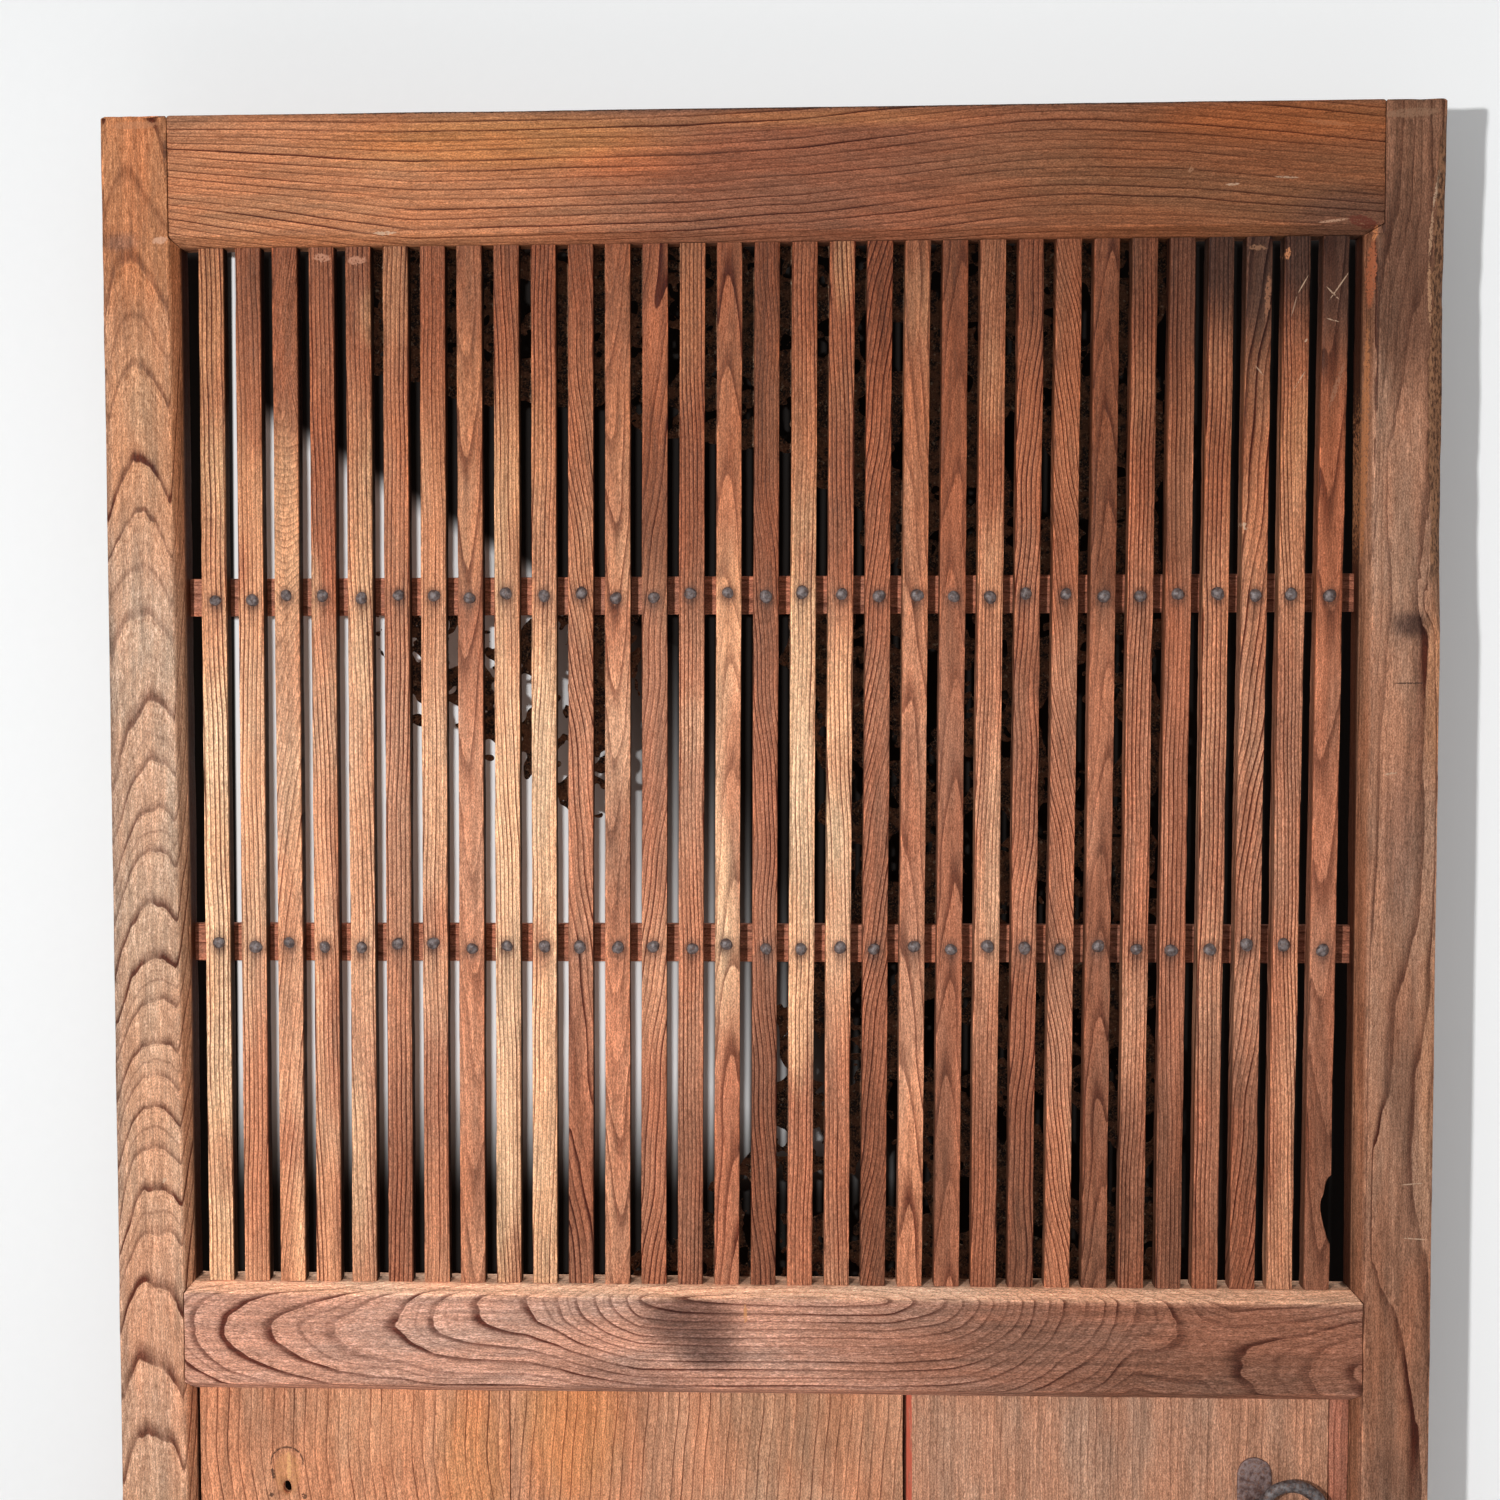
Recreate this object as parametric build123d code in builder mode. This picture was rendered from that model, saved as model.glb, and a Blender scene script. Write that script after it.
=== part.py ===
"""An old timber door leaf with a slatted upper part, boards below and an iron ring pull.

Millimetres. The origin is in the middle of the leaf's bottom edge: +X runs to the right of a
person who faces the front, +Y into the door and +Z up, so the front faces -Y.
"""
import os
from math import cos, pi, sin

from build123d import *

# The leaf and its frame. The top rail's right shoulder was cut long and reaches over the stile.
leaf_width = 1060.0
leaf_height = 1760.0
leaf_thickness = 42.0
stile_face = 53.5
top_rail_face = 96.0
middle_rail_face = 75.0
bottom_rail_face = 96.0
middle_rail_height = 809.0
right_shoulder_reach = 6.0
arris_ease = 1.0

# The bevel that runs round both openings, mitred in their corners
bevel_width = 7.5
bevel_depth = 12.0

# The rails' tenons, and how loosely they sit in the stiles
tenon_thickness = 12.0
tenon_length = 38.0
tenon_shoulder = 14.0
mortise_clearance = 0.2

# Where the right stile's outer arris is worn away
worn_height = 1545.0
worn_length = 400.0
worn_on_face = 14.0
worn_on_edge = 7.0

# The lattice: upright slats, a little out of plumb, as they stand in the opening
slat_count = 31
slat_width = 20.6
slat_depth = 20.0
slat_ease = 0.7
head_gap_left = 13.9
head_gap_right = 10.6
foot_gap_left = 11.4
foot_gap_right = 16.9
stub_width = 9.0
stub_depth = 10.0
stub_length = 8.0
stub_clearance = 0.2

# The bite out of the last slat's right edge
bite_height = 854.5
bite_length = 55.5
bite_depth = 8.0

# The tie rails behind the slats, flush with the back of the frame
upper_tie_height = 1376.5
lower_tie_height = 1093.5
tie_width = 31.0
tie_housing = 8.0
tie_clearance = 0.2

# What is left of the rusted wire mesh, tacked to the backs of the frame and the tie rails
mesh_thickness = 0.8
mesh_left_margin = 140.0
mesh_right_margin = 150.0
mesh_lap_share = 0.045
mesh_tear_share = 0.032
mesh_hole_share = 0.05
mesh_edge_point_count = 14
mesh_hole_point_count = 9

# The boards of the lower panel, lapped over each other
panel_setback = 13.0
board_thickness = 11.0
board_tongue = 8.0
board_lap = 6.0
lap_clearance = 0.6
groove_clearance = 0.3
panel_left_gap = 1.8
first_board_width = 257.0
second_board_width = 321.2
open_joint = 2.4
edge_strip_width = 16.0

# The iron ring pull, and the pin hole of the one that is missing
pull_from_right = 136.0
missing_pull_from_left = 135.0
pull_height = 643.0
plate_width = 27.5
plate_height = 71.0
plate_thickness = 2.0
ring_bar_near = 10.0
ring_bar_far = 12.5
ring_mean_radius = 25.2
ring_droop = 20.0
ring_clearance = 5.2
ring_facet_count = 12
eye_lean = 4.0
eye_wire = 4.0
eye_inner_radius = 8.0
eye_facet_count = 8
clench_length = 22.0
clench_thickness = 2.5
pin_clearance = 0.3
empty_hole_width = 7.0
empty_hole_height = 10.0

# Planes and edges that follow from the sizes above
front = -leaf_thickness / 2
back = leaf_thickness / 2
bevel_back = front + bevel_depth
stile_edge = leaf_width / 2 - stile_face
opening_side = stile_edge - bevel_width
top_face_edge = leaf_height - top_rail_face
head = top_face_edge - bevel_width
sill = middle_rail_height + bevel_width
middle_face_bottom = middle_rail_height - middle_rail_face
panel_head = middle_face_bottom - bevel_width
panel_foot = bottom_rail_face + bevel_width
tenon_middle = (bevel_back + back) / 2
slat_middle = bevel_back + slat_depth / 2
slat_back = bevel_back + slat_depth
panel_front = front + panel_setback
panel_back = panel_front + board_thickness
panel_middle = (panel_front + panel_back) / 2

# The heights between which each rail's tenons lie
tenon_spans = {
    "bottom_rail": (tenon_shoulder, panel_foot - tenon_shoulder),
    "middle_rail": (panel_head + tenon_shoulder, sill - tenon_shoulder),
    "top_rail": (head + tenon_shoulder, leaf_height - tenon_shoulder),
}

parts = {}


def keep(piece, name):
    """Label a finished piece and remember it for export."""
    piece.part.label = name
    parts[name] = piece.part


def shoulder(side, height):
    """Where a rail's face ends on a stile: only the top rail's right end reaches further."""
    if side > 0 and height >= top_face_edge:
        return side * (stile_edge + right_shoulder_reach)
    return side * stile_edge


def slat_centre(number, height):
    """Where the middle of a slat stands at a height: evenly spaced at the head and at the foot."""
    step = number / (slat_count - 1)
    first_head = -opening_side + head_gap_left + slat_width / 2
    last_head = opening_side - head_gap_right - slat_width / 2
    first_foot = -opening_side + foot_gap_left + slat_width / 2
    last_foot = opening_side - foot_gap_right - slat_width / 2
    at_head = first_head + (last_head - first_head) * step
    at_foot = first_foot + (last_foot - first_foot) * step
    return at_foot + (at_head - at_foot) * (height - sill) / (head - sill)


def make_stile(name, side):
    """A stile: inner bevel, mitres for the rails' faces, mortises, board groove, tie housings."""
    with BuildPart() as stile:
        with BuildSketch():
            with BuildLine():
                Polyline(
                    (side * leaf_width / 2, back),
                    (side * leaf_width / 2, front),
                    (side * stile_edge, front),
                    (side * opening_side, bevel_back),
                    (side * opening_side, back),
                    close=True,
                )
            make_face()
        extrude(amount=leaf_height)
        front_edges = stile.edges().filter_by(Axis.Z).group_by(Axis.Y)[0]
        chamfer(front_edges.sort_by(Axis.X)[-1 if side > 0 else 0], length=arris_ease)
        # The front layer of each rail reaches in over the bevel and meets it in a mitre.
        with BuildSketch(Plane.XZ.offset(-bevel_back)):
            for low_face, low_inner, high_inner, high_face in (
                (0, 0, panel_foot, bottom_rail_face),
                (middle_face_bottom, panel_head, sill, middle_rail_height),
                (top_face_edge, head, leaf_height, leaf_height),
            ):
                with BuildLine():
                    Polyline(
                        (shoulder(side, low_face), low_face),
                        (side * opening_side, low_inner),
                        (side * opening_side, high_inner),
                        (shoulder(side, high_face), high_face),
                        close=True,
                    )
                make_face()
        extrude(amount=bevel_depth, mode=Mode.SUBTRACT)
        # Mortises for the rails' tenons
        with BuildSketch(Plane.YZ.offset(side * opening_side)):
            for low, high in tenon_spans.values():
                with Locations((tenon_middle, (low + high) / 2)):
                    Rectangle(tenon_thickness + 2 * mortise_clearance, high - low + 2 * mortise_clearance)
        extrude(amount=side * (tenon_length + mortise_clearance), mode=Mode.SUBTRACT)
        # The groove that holds the panel's side edge
        with BuildSketch(Plane.XY.offset(panel_foot - board_tongue)):
            with Locations((side * (opening_side + board_tongue / 2), panel_middle)):
                Rectangle(board_tongue, board_thickness + 2 * groove_clearance)
        extrude(amount=panel_head - panel_foot + 2 * board_tongue, mode=Mode.SUBTRACT)
        # Housings for the ends of the tie rails, open at the back
        with BuildSketch(Plane.YZ.offset(side * opening_side)):
            for height in (upper_tie_height, lower_tie_height):
                with Locations(((slat_back + back) / 2, height)):
                    Rectangle(back - slat_back, tie_width + 2 * tie_clearance)
        extrude(amount=side * (tie_housing + tie_clearance), mode=Mode.SUBTRACT)
        if side > 0:
            # A long shallow scoop along the outer arris, deepest half way
            depth = worn_on_face * worn_on_edge / (worn_on_face**2 + worn_on_edge**2) ** 0.5
            scoop = Plane(
                origin=(leaf_width / 2, front, worn_height),
                x_dir=(-worn_on_edge, worn_on_face, 0),
                z_dir=(worn_on_face, worn_on_edge, 0),
            )
            with BuildSketch(scoop):
                with BuildLine():
                    ThreePointArc((0, -worn_length / 2), (depth, 0), (0, worn_length / 2))
                    Line((0, worn_length / 2), (0, -worn_length / 2))
                make_face()
            extrude(amount=leaf_thickness, both=True, mode=Mode.SUBTRACT)
    keep(stile, name)


def make_rail(name, low_face, low_inner, high_inner, high_face, pocket_height=None, groove_toward=None):
    """A rail between the stiles: mitred bevels, a tenon at each end, slat pockets, board groove.

    Where face and inner heights are equal, that edge is the leaf's own and has no bevel.
    """
    with BuildPart() as rail:
        with BuildSketch(Plane.XZ.offset(-back)):
            with Locations((0, (low_inner + high_inner) / 2)):
                Rectangle(2 * opening_side, high_inner - low_inner)
        extrude(amount=back - bevel_back)
        with BuildSketch(Plane.XZ.offset(-bevel_back)):
            with BuildLine():
                Polyline(
                    (shoulder(-1, low_face), low_face),
                    (-opening_side, low_inner),
                    (opening_side, low_inner),
                    (shoulder(1, low_face), low_face),
                    (shoulder(1, high_face), high_face),
                    (opening_side, high_inner),
                    (-opening_side, high_inner),
                    (shoulder(-1, high_face), high_face),
                    close=True,
                )
            make_face()
        extrude(amount=bevel_depth)
        # Plane the bevels along the edges that face an opening.
        for face_edge, inner_edge in ((low_face, low_inner), (high_face, high_inner)):
            if face_edge != inner_edge:
                with BuildSketch(Plane.YZ):
                    with BuildLine():
                        Polyline(
                            (front, face_edge),
                            (front, inner_edge),
                            (bevel_back, inner_edge),
                            close=True,
                        )
                    make_face()
                extrude(amount=leaf_width / 2, both=True, mode=Mode.SUBTRACT)
        # One long bar through the rail makes both tenons.
        low_tenon, high_tenon = tenon_spans[name]
        with BuildSketch(Plane.YZ):
            with Locations((tenon_middle, (low_tenon + high_tenon) / 2)):
                Rectangle(tenon_thickness, high_tenon - low_tenon)
        extrude(amount=opening_side + tenon_length, both=True)
        # A pocket for the stub of each slat
        if pocket_height is not None:
            toward = 1 if pocket_height > sill else -1
            with BuildSketch(Plane.XY.offset(pocket_height)):
                for number in range(slat_count):
                    with Locations((slat_centre(number, pocket_height), slat_middle)):
                        Rectangle(stub_width + 2 * stub_clearance, stub_depth + 2 * stub_clearance)
            extrude(amount=toward * (stub_length + stub_clearance), mode=Mode.SUBTRACT)
        # The groove for the ends of the boards
        if groove_toward is not None:
            height = panel_head if groove_toward > 0 else panel_foot
            with BuildSketch(Plane.XY.offset(height)):
                with Locations((0, panel_middle)):
                    Rectangle(2 * opening_side, board_thickness + 2 * groove_clearance)
            extrude(amount=groove_toward * board_tongue, mode=Mode.SUBTRACT)
    keep(rail, name)


def make_slat(number):
    """One slat with eased front arrises and a stub at each end. The last one has been bitten."""
    foot_x = slat_centre(number, sill)
    head_x = slat_centre(number, head)
    half = slat_width / 2
    with BuildPart() as slat:
        with BuildSketch(Plane.XZ.offset(-slat_back)):
            with BuildLine():
                Polyline(
                    (foot_x - half, sill),
                    (foot_x + half, sill),
                    (head_x + half, head),
                    (head_x - half, head),
                    close=True,
                )
            make_face()
        extrude(amount=slat_depth)
        front_edges = slat.faces().sort_by(Axis.Y)[0].edges()
        chamfer(front_edges.sort_by(SortBy.LENGTH)[-2:], length=slat_ease)
        for x, height, toward in ((foot_x, sill, -1), (head_x, head, 1)):
            with BuildSketch(Plane.XY.offset(height)):
                with Locations((x, slat_middle)):
                    Rectangle(stub_width, stub_depth)
            extrude(amount=toward * stub_length)
        if number == slat_count - 1:
            bite_top = bite_height + bite_length
            low_edge = slat_centre(number, bite_height) + half
            high_edge = slat_centre(number, bite_top) + half
            with BuildSketch(Plane.XZ.offset(-slat_back)):
                with BuildLine():
                    Spline(
                        (low_edge, bite_height),
                        (low_edge - 0.9 * bite_depth, bite_height + 0.4 * bite_length),
                        (low_edge - bite_depth, bite_height + 0.65 * bite_length),
                        (high_edge, bite_top),
                    )
                    Polyline(
                        (high_edge, bite_top),
                        (high_edge + slat_width, bite_top),
                        (high_edge + slat_width, bite_height),
                        (low_edge, bite_height),
                    )
                make_face()
            extrude(amount=slat_depth, mode=Mode.SUBTRACT)
    keep(slat, f"slat_{number + 1:02d}")


def make_tie_rail(name, height):
    """A thin rail behind the slats, let into both stiles from the back."""
    with BuildPart() as tie:
        with BuildSketch(Plane.XZ.offset(-back)):
            with Locations((0, height)):
                Rectangle(2 * (opening_side + tie_housing), tie_width)
        extrude(amount=back - slat_back)
    keep(tie, name)


def torn(start, end, swing, phase):
    """Points along a torn edge, from start up to but not including end."""
    run = (end[0] - start[0], end[1] - start[1])
    length = (run[0] ** 2 + run[1] ** 2) ** 0.5
    edge = []
    for number in range(mesh_edge_point_count):
        along = number / mesh_edge_point_count
        wave = sin(2 * pi * (2 * along + phase)) + 0.7 * sin(2 * pi * (5 * along + 2 * phase))
        # The wave dies out at both ends, so that the corners stay put.
        offset = swing * wave * sin(pi * along)
        edge.append((
            start[0] + run[0] * along - run[1] / length * offset,
            start[1] + run[1] * along + run[0] / length * offset,
        ))
    return edge


def make_mesh(name, low, high, corners, torn_sides, holes):
    """A sheet of mesh with straight and torn sides and with holes rusted through it.

    Corners and holes are given across and up, as shares of the field between the mesh's side
    margins and between the heights low and high. A hole's third number is how large it is.
    """
    run = high - low
    places = [(mesh_left + across * mesh_span, low + up * run) for across, up in corners]
    outline = []
    for number, start in enumerate(places):
        if number in torn_sides:
            end = places[(number + 1) % len(places)]
            outline += torn(start, end, swing=mesh_tear_share * run, phase=0.23 * number)
        else:
            outline.append(start)
    with BuildPart() as sheet:
        with BuildSketch(Plane.XZ.offset(-(back + mesh_thickness))):
            with BuildLine():
                Polyline(*outline, close=True)
            make_face()
            for number, (across, up, size) in enumerate(holes):
                rim = []
                for step in range(mesh_hole_point_count):
                    turn = 2 * pi * step / mesh_hole_point_count
                    wave = 1 + 0.35 * sin(2 * turn + number) + 0.2 * cos(3 * turn)
                    radius = size * mesh_hole_share * run * wave
                    x = mesh_left + across * mesh_span + radius * cos(turn)
                    rim.append((x, low + up * run + 1.6 * radius * sin(turn)))
                with BuildLine():
                    Polyline(*rim, close=True)
                make_face(mode=Mode.SUBTRACT)
        extrude(amount=mesh_thickness)
    keep(sheet, name)


def make_board(name, left, right, under_left=None, lap_right=True, hole=None):
    """One upright board, tongued into the rails, its back layer lapping under the next board.

    under_left is how far the previous board's lap reaches in behind this one.
    """
    rear_left = left if under_left is None else under_left + lap_clearance
    rear_right = right + board_lap if lap_right else right
    with BuildPart() as board:
        with BuildSketch(Plane.XY.offset(panel_foot - board_tongue)):
            with Locations(((left + right) / 2, (panel_front + panel_middle) / 2)):
                Rectangle(right - left, panel_middle - panel_front)
            with Locations(((rear_left + rear_right) / 2, (panel_middle + panel_back) / 2)):
                Rectangle(rear_right - rear_left, panel_back - panel_middle)
        extrude(amount=panel_head - panel_foot + 2 * board_tongue)
        if hole is not None:
            with BuildSketch(Plane.XZ.offset(-panel_back)):
                with Locations((hole[0], pull_height)):
                    Rectangle(hole[1], hole[2])
            extrude(amount=board_thickness, mode=Mode.SUBTRACT)
    keep(board, name)


# Frame
make_stile("left_stile", -1)
make_stile("right_stile", 1)
make_rail("top_rail", top_face_edge, head, leaf_height, leaf_height, pocket_height=head)
make_rail(
    "middle_rail",
    middle_face_bottom,
    panel_head,
    sill,
    middle_rail_height,
    pocket_height=sill,
    groove_toward=1,
)
make_rail("bottom_rail", 0, 0, panel_foot, bottom_rail_face, groove_toward=-1)

# Lattice
for number in range(slat_count):
    make_slat(number)
make_tie_rail("upper_tie_rail", upper_tie_height)
make_tie_rail("lower_tie_rail", lower_tie_height)

# Mesh remains: what hangs from the top rail, two rags below the upper tie rail, and the foot
mesh_left = -opening_side + mesh_left_margin
mesh_right = opening_side - mesh_right_margin
mesh_span = mesh_right - mesh_left
make_mesh(
    "mesh_upper",
    low=upper_tie_height,
    high=head,
    corners=[(0, 1 + mesh_lap_share), (0, 0.65), (0.55, 0.4), (0.7, 0), (1, 0), (1, 1 + mesh_lap_share)],
    torn_sides=(0, 1, 2, 4),
    holes=[(0.2, 0.84, 1), (0.4, 0.7, 1.2), (0.66, 0.72, 1.5), (0.84, 0.35, 1.8), (0.9, 0.8, 1)],
)
make_mesh(
    "mesh_rag",
    low=lower_tie_height,
    high=upper_tie_height,
    corners=[(0, 1), (0.05, 0.65), (0.3, 0.35), (0.36, 1)],
    torn_sides=(0, 1, 2),
    holes=[(0.2, 0.7, 1)],
)
make_mesh(
    "mesh_middle",
    low=lower_tie_height,
    high=upper_tie_height,
    corners=[(0.52, 1), (0.58, 0.5), (0.6, 0), (1, 0), (1, 1)],
    torn_sides=(0, 1, 3),
    holes=[(0.72, 0.72, 1.5), (0.78, 0.32, 1.2), (0.9, 0.6, 2)],
)
make_mesh(
    "mesh_lower",
    low=sill,
    high=lower_tie_height,
    corners=[(0.55, 1), (0.5, 0.4), (0.3, -mesh_lap_share), (1, -mesh_lap_share), (1, 1)],
    torn_sides=(0, 1, 3),
    holes=[(0.5, 0.18, 1), (0.66, 0.3, 1.8), (0.76, 0.68, 1.4), (0.9, 0.38, 2)],
)

# Lower panel
pull_x = leaf_width / 2 - pull_from_right
missing_pull_x = -leaf_width / 2 + missing_pull_from_left
eye_x = pull_x + eye_lean
first_left = -opening_side + panel_left_gap
first_right = first_left + first_board_width
second_right = first_right + second_board_width
third_left = second_right + open_joint
third_right = opening_side - edge_strip_width
shank_width = 2 * eye_wire
pin_hole = (eye_x, shank_width + 2 * pin_clearance, eye_wire + 2 * pin_clearance)
empty_hole = (missing_pull_x, empty_hole_width, empty_hole_height)
make_board("left_board", first_left, first_right, hole=empty_hole)
make_board("middle_board", first_right, second_right, under_left=first_right + board_lap)
third_lap = second_right + board_lap
make_board("right_board", third_left, third_right, under_left=third_lap, hole=pin_hole)
make_board(
    "edge_strip",
    third_right,
    opening_side + board_tongue,
    under_left=third_right + board_lap,
    lap_right=False,
)

# Ring pull: the plate, with a hole that the eye's two legs pass through
plate_front = panel_front - plate_thickness
with BuildPart() as ring_plate:
    with BuildSketch(Plane.XZ.offset(-panel_front)):
        with Locations((pull_x, pull_height)):
            SlotOverall(plate_height, plate_width, rotation=90)
        with Locations((eye_x, pull_height)):
            Rectangle(pin_hole[1], pin_hole[2], mode=Mode.SUBTRACT)
    extrude(amount=plate_thickness)
keep(ring_plate, "ring_plate")

# Ring pull: the eye is one iron bar bent round the ring, driven through and clenched at the back.
ring_y = plate_front - ring_clearance - ring_bar_far / 2
eye_mean_radius = eye_inner_radius + eye_wire / 2
with BuildPart() as ring_eye:
    with BuildSketch(Plane(origin=(eye_x, ring_y, pull_height), x_dir=(1, 0, 0), z_dir=(0, -1, 0))):
        with Locations((eye_mean_radius, 0)):
            RegularPolygon(eye_wire / 2, eye_facet_count, major_radius=False, rotation=180 / eye_facet_count)
    revolve(axis=Axis((eye_x, ring_y, pull_height), (0, 0, 1)))
    with BuildSketch(Plane.XZ.offset(-panel_back)):
        with Locations((eye_x, pull_height)):
            Rectangle(shank_width, eye_wire)
    extrude(amount=panel_back - ring_y - eye_mean_radius)
    with BuildSketch(Plane.XZ.offset(-(panel_back + clench_thickness))):
        with Locations((eye_x, pull_height)):
            SlotOverall(shank_width + 2 * clench_length, eye_wire)
    extrude(amount=clench_thickness)
keep(ring_eye, "ring_eye")

# Ring pull: the ring stands out to the right of the eye and droops a little. Its bar swells away
# from the eye: half of it is swept in the ring's own plane, and the other half is its mirror image.
reach = Vector(ring_mean_radius, 0, 0).rotate(Axis.Y, ring_droop)
ring_centre = Vector(eye_x, ring_y, pull_height) + reach
ring_plane = Plane(origin=ring_centre, x_dir=reach, z_dir=(0, -1, 0))
with BuildPart() as pull_ring:
    with BuildLine(ring_plane) as half_path:
        CenterArc((0, 0), ring_mean_radius, 180, 180)
    for step in (0, 0.5, 1):
        with BuildSketch(half_path.line ^ step):
            bar = ring_bar_near + (ring_bar_far - ring_bar_near) * step
            RegularPolygon(bar / 2, ring_facet_count, major_radius=False)
    sweep(path=half_path.line, multisection=True)
    mirror(about=Plane(origin=ring_centre, x_dir=reach, z_dir=ring_plane.y_dir))
keep(pull_ring, "pull_ring")

os.makedirs("parts", exist_ok=True)
for name, part in parts.items():
    export_step(part, f"parts/{name}.step")
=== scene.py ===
"""An old door leaf of ring-porous hardwood: slats over tie rails above, boards and an iron ring below.

Metres, in the row frame: X to the right, Y into the door, Z up, and the front faces -Y.
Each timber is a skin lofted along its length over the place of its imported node. Its vertices carry
where they lie in the tree that the timber was cut from, and one wood material reads that.
"""
import math
import random

import bmesh
import bpy
import numpy as np
from mathutils import Matrix, Vector, noise
from mathutils.bvhtree import BVHTree


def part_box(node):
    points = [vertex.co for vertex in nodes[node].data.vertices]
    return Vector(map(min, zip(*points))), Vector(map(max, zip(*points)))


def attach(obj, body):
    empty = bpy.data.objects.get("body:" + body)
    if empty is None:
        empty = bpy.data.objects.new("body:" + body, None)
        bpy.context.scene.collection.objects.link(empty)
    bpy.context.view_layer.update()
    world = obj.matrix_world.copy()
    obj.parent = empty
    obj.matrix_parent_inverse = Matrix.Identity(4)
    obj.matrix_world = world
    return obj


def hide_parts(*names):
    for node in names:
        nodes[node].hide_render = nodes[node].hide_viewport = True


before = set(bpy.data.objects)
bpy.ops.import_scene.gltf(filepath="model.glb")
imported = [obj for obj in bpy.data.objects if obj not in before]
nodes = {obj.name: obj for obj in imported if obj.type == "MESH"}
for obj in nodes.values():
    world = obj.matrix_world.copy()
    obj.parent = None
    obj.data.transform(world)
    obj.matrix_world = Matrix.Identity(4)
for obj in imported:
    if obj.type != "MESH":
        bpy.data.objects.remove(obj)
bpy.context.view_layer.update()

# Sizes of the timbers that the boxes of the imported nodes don't give
FRONT, BACK = -0.021, 0.021
BEVEL_WIDTH, BEVEL_DEPTH = 0.0075, 0.012
BEVEL_BACK = FRONT + BEVEL_DEPTH
BEVEL_EDGE = 0.4765
OPENING = BEVEL_EDGE - BEVEL_WIDTH
RIGHT_REACH = 0.006
TOP = 1.760
TOP_RAIL_FACE = 1.664
MIDDLE_RAIL_HIGH, MIDDLE_RAIL_LOW = 0.809, 0.734
BOTTOM_RAIL_FACE = 0.096
BOARD_FRONT, BOARD_MIDDLE, BOARD_BACK = -0.008, -0.0025, 0.003
LAP = 0.006
LAP_CLEARANCE = 0.0006
UPPER_STUDS, LOWER_STUDS = 1.3765, 1.0935
WORN_LOW, WORN_HIGH = 1.345, 1.745
RING_CENTRE = Vector((0.42168, -0.02125, 0.63438))
RING_RADIUS = 0.0252
EYE = Vector((0.398, -0.02125, 0.643))

# Stains on the wood, in linear colour
ORANGE = (0.62, 0.25, 0.085)
DARK = (0.13, 0.062, 0.042)
SCORCHED = (0.115, 0.062, 0.047)
GREY = (0.30, 0.205, 0.150)


def wood(lightness):
    """The ground colour of old wood: the paler it is, the yellower."""
    pale = max(0.0, lightness - 0.5)
    return lightness, lightness * (0.375 + 0.45 * pale), lightness * (0.20 + 0.27 * pale)


def mix(first, second, share):
    """A colour between two others."""
    return tuple(a + (b - a) * share for a, b in zip(first, second))


def smooth(low, high, value):
    """0 below low, 1 above high, and an even turn between them."""
    t = np.clip((np.asarray(value, float) - low) / (high - low), 0, 1)
    return t * t * (3 - 2 * t)


def wave(place, size, seed):
    """Smooth noise from about -1 to 1 at a place, with features of about this size."""
    return noise.noise(Vector(place) / size + Vector((seed * 7.31, seed * 3.17, seed * 11.9)))


# Meshes


def positions(mesh):
    """The places of a mesh's vertices, as an array."""
    flat = np.empty(len(mesh.vertices) * 3, np.float32)
    mesh.vertices.foreach_get("co", flat)
    return flat.reshape(-1, 3).astype(float)


def write_attribute(mesh, name, kind, values):
    """A named value for each vertex, which the materials read."""
    layer = mesh.attributes.get(name) or mesh.attributes.new(name, kind, "POINT")
    field = {"FLOAT": "value", "FLOAT_VECTOR": "vector", "FLOAT_COLOR": "color"}[kind]
    layer.data.foreach_set(field, np.asarray(values, np.float32).ravel())


def read_wear(mesh):
    """How much each vertex lies on an arris, from 0 to 1."""
    wear = np.zeros(len(mesh.vertices), np.float32)
    layer = mesh.attributes.get("wear")
    if layer:
        layer.data.foreach_get("value", wear)
    return wear


def outline(corners, radii, cuts):
    """A closed outline with rounded corners: its points, and how much each lies on an arris."""
    corners = [np.array(c, float) for c in corners]
    count = len(corners)
    rounded = []
    for i, corner in enumerate(corners):
        before, after = corners[i - 1] - corner, corners[(i + 1) % count] - corner
        reach_before, reach_after = np.linalg.norm(before), np.linalg.norm(after)
        reach = min(radii[i], 0.4 * reach_before, 0.4 * reach_after)
        start = corner + before / max(reach_before, 1e-9) * reach
        end = corner + after / max(reach_after, 1e-9) * reach
        rounded.append((start, (start + 2 * corner + end) / 4, end, radii[i] > 0.0002))
    points, wear = [], []
    for i, (start, middle, end, worn) in enumerate(rounded):
        points += [start, middle, end]
        wear += [0.7, 1.0, 0.7] if worn else [0, 0, 0]
        following = rounded[(i + 1) % count][0]
        for step in range(1, cuts[i]):
            share = 0.5 - 0.5 * math.cos(math.pi * step / cuts[i])
            points.append(end + (following - end) * share)
            wear.append(0)
    return points, wear


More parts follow.
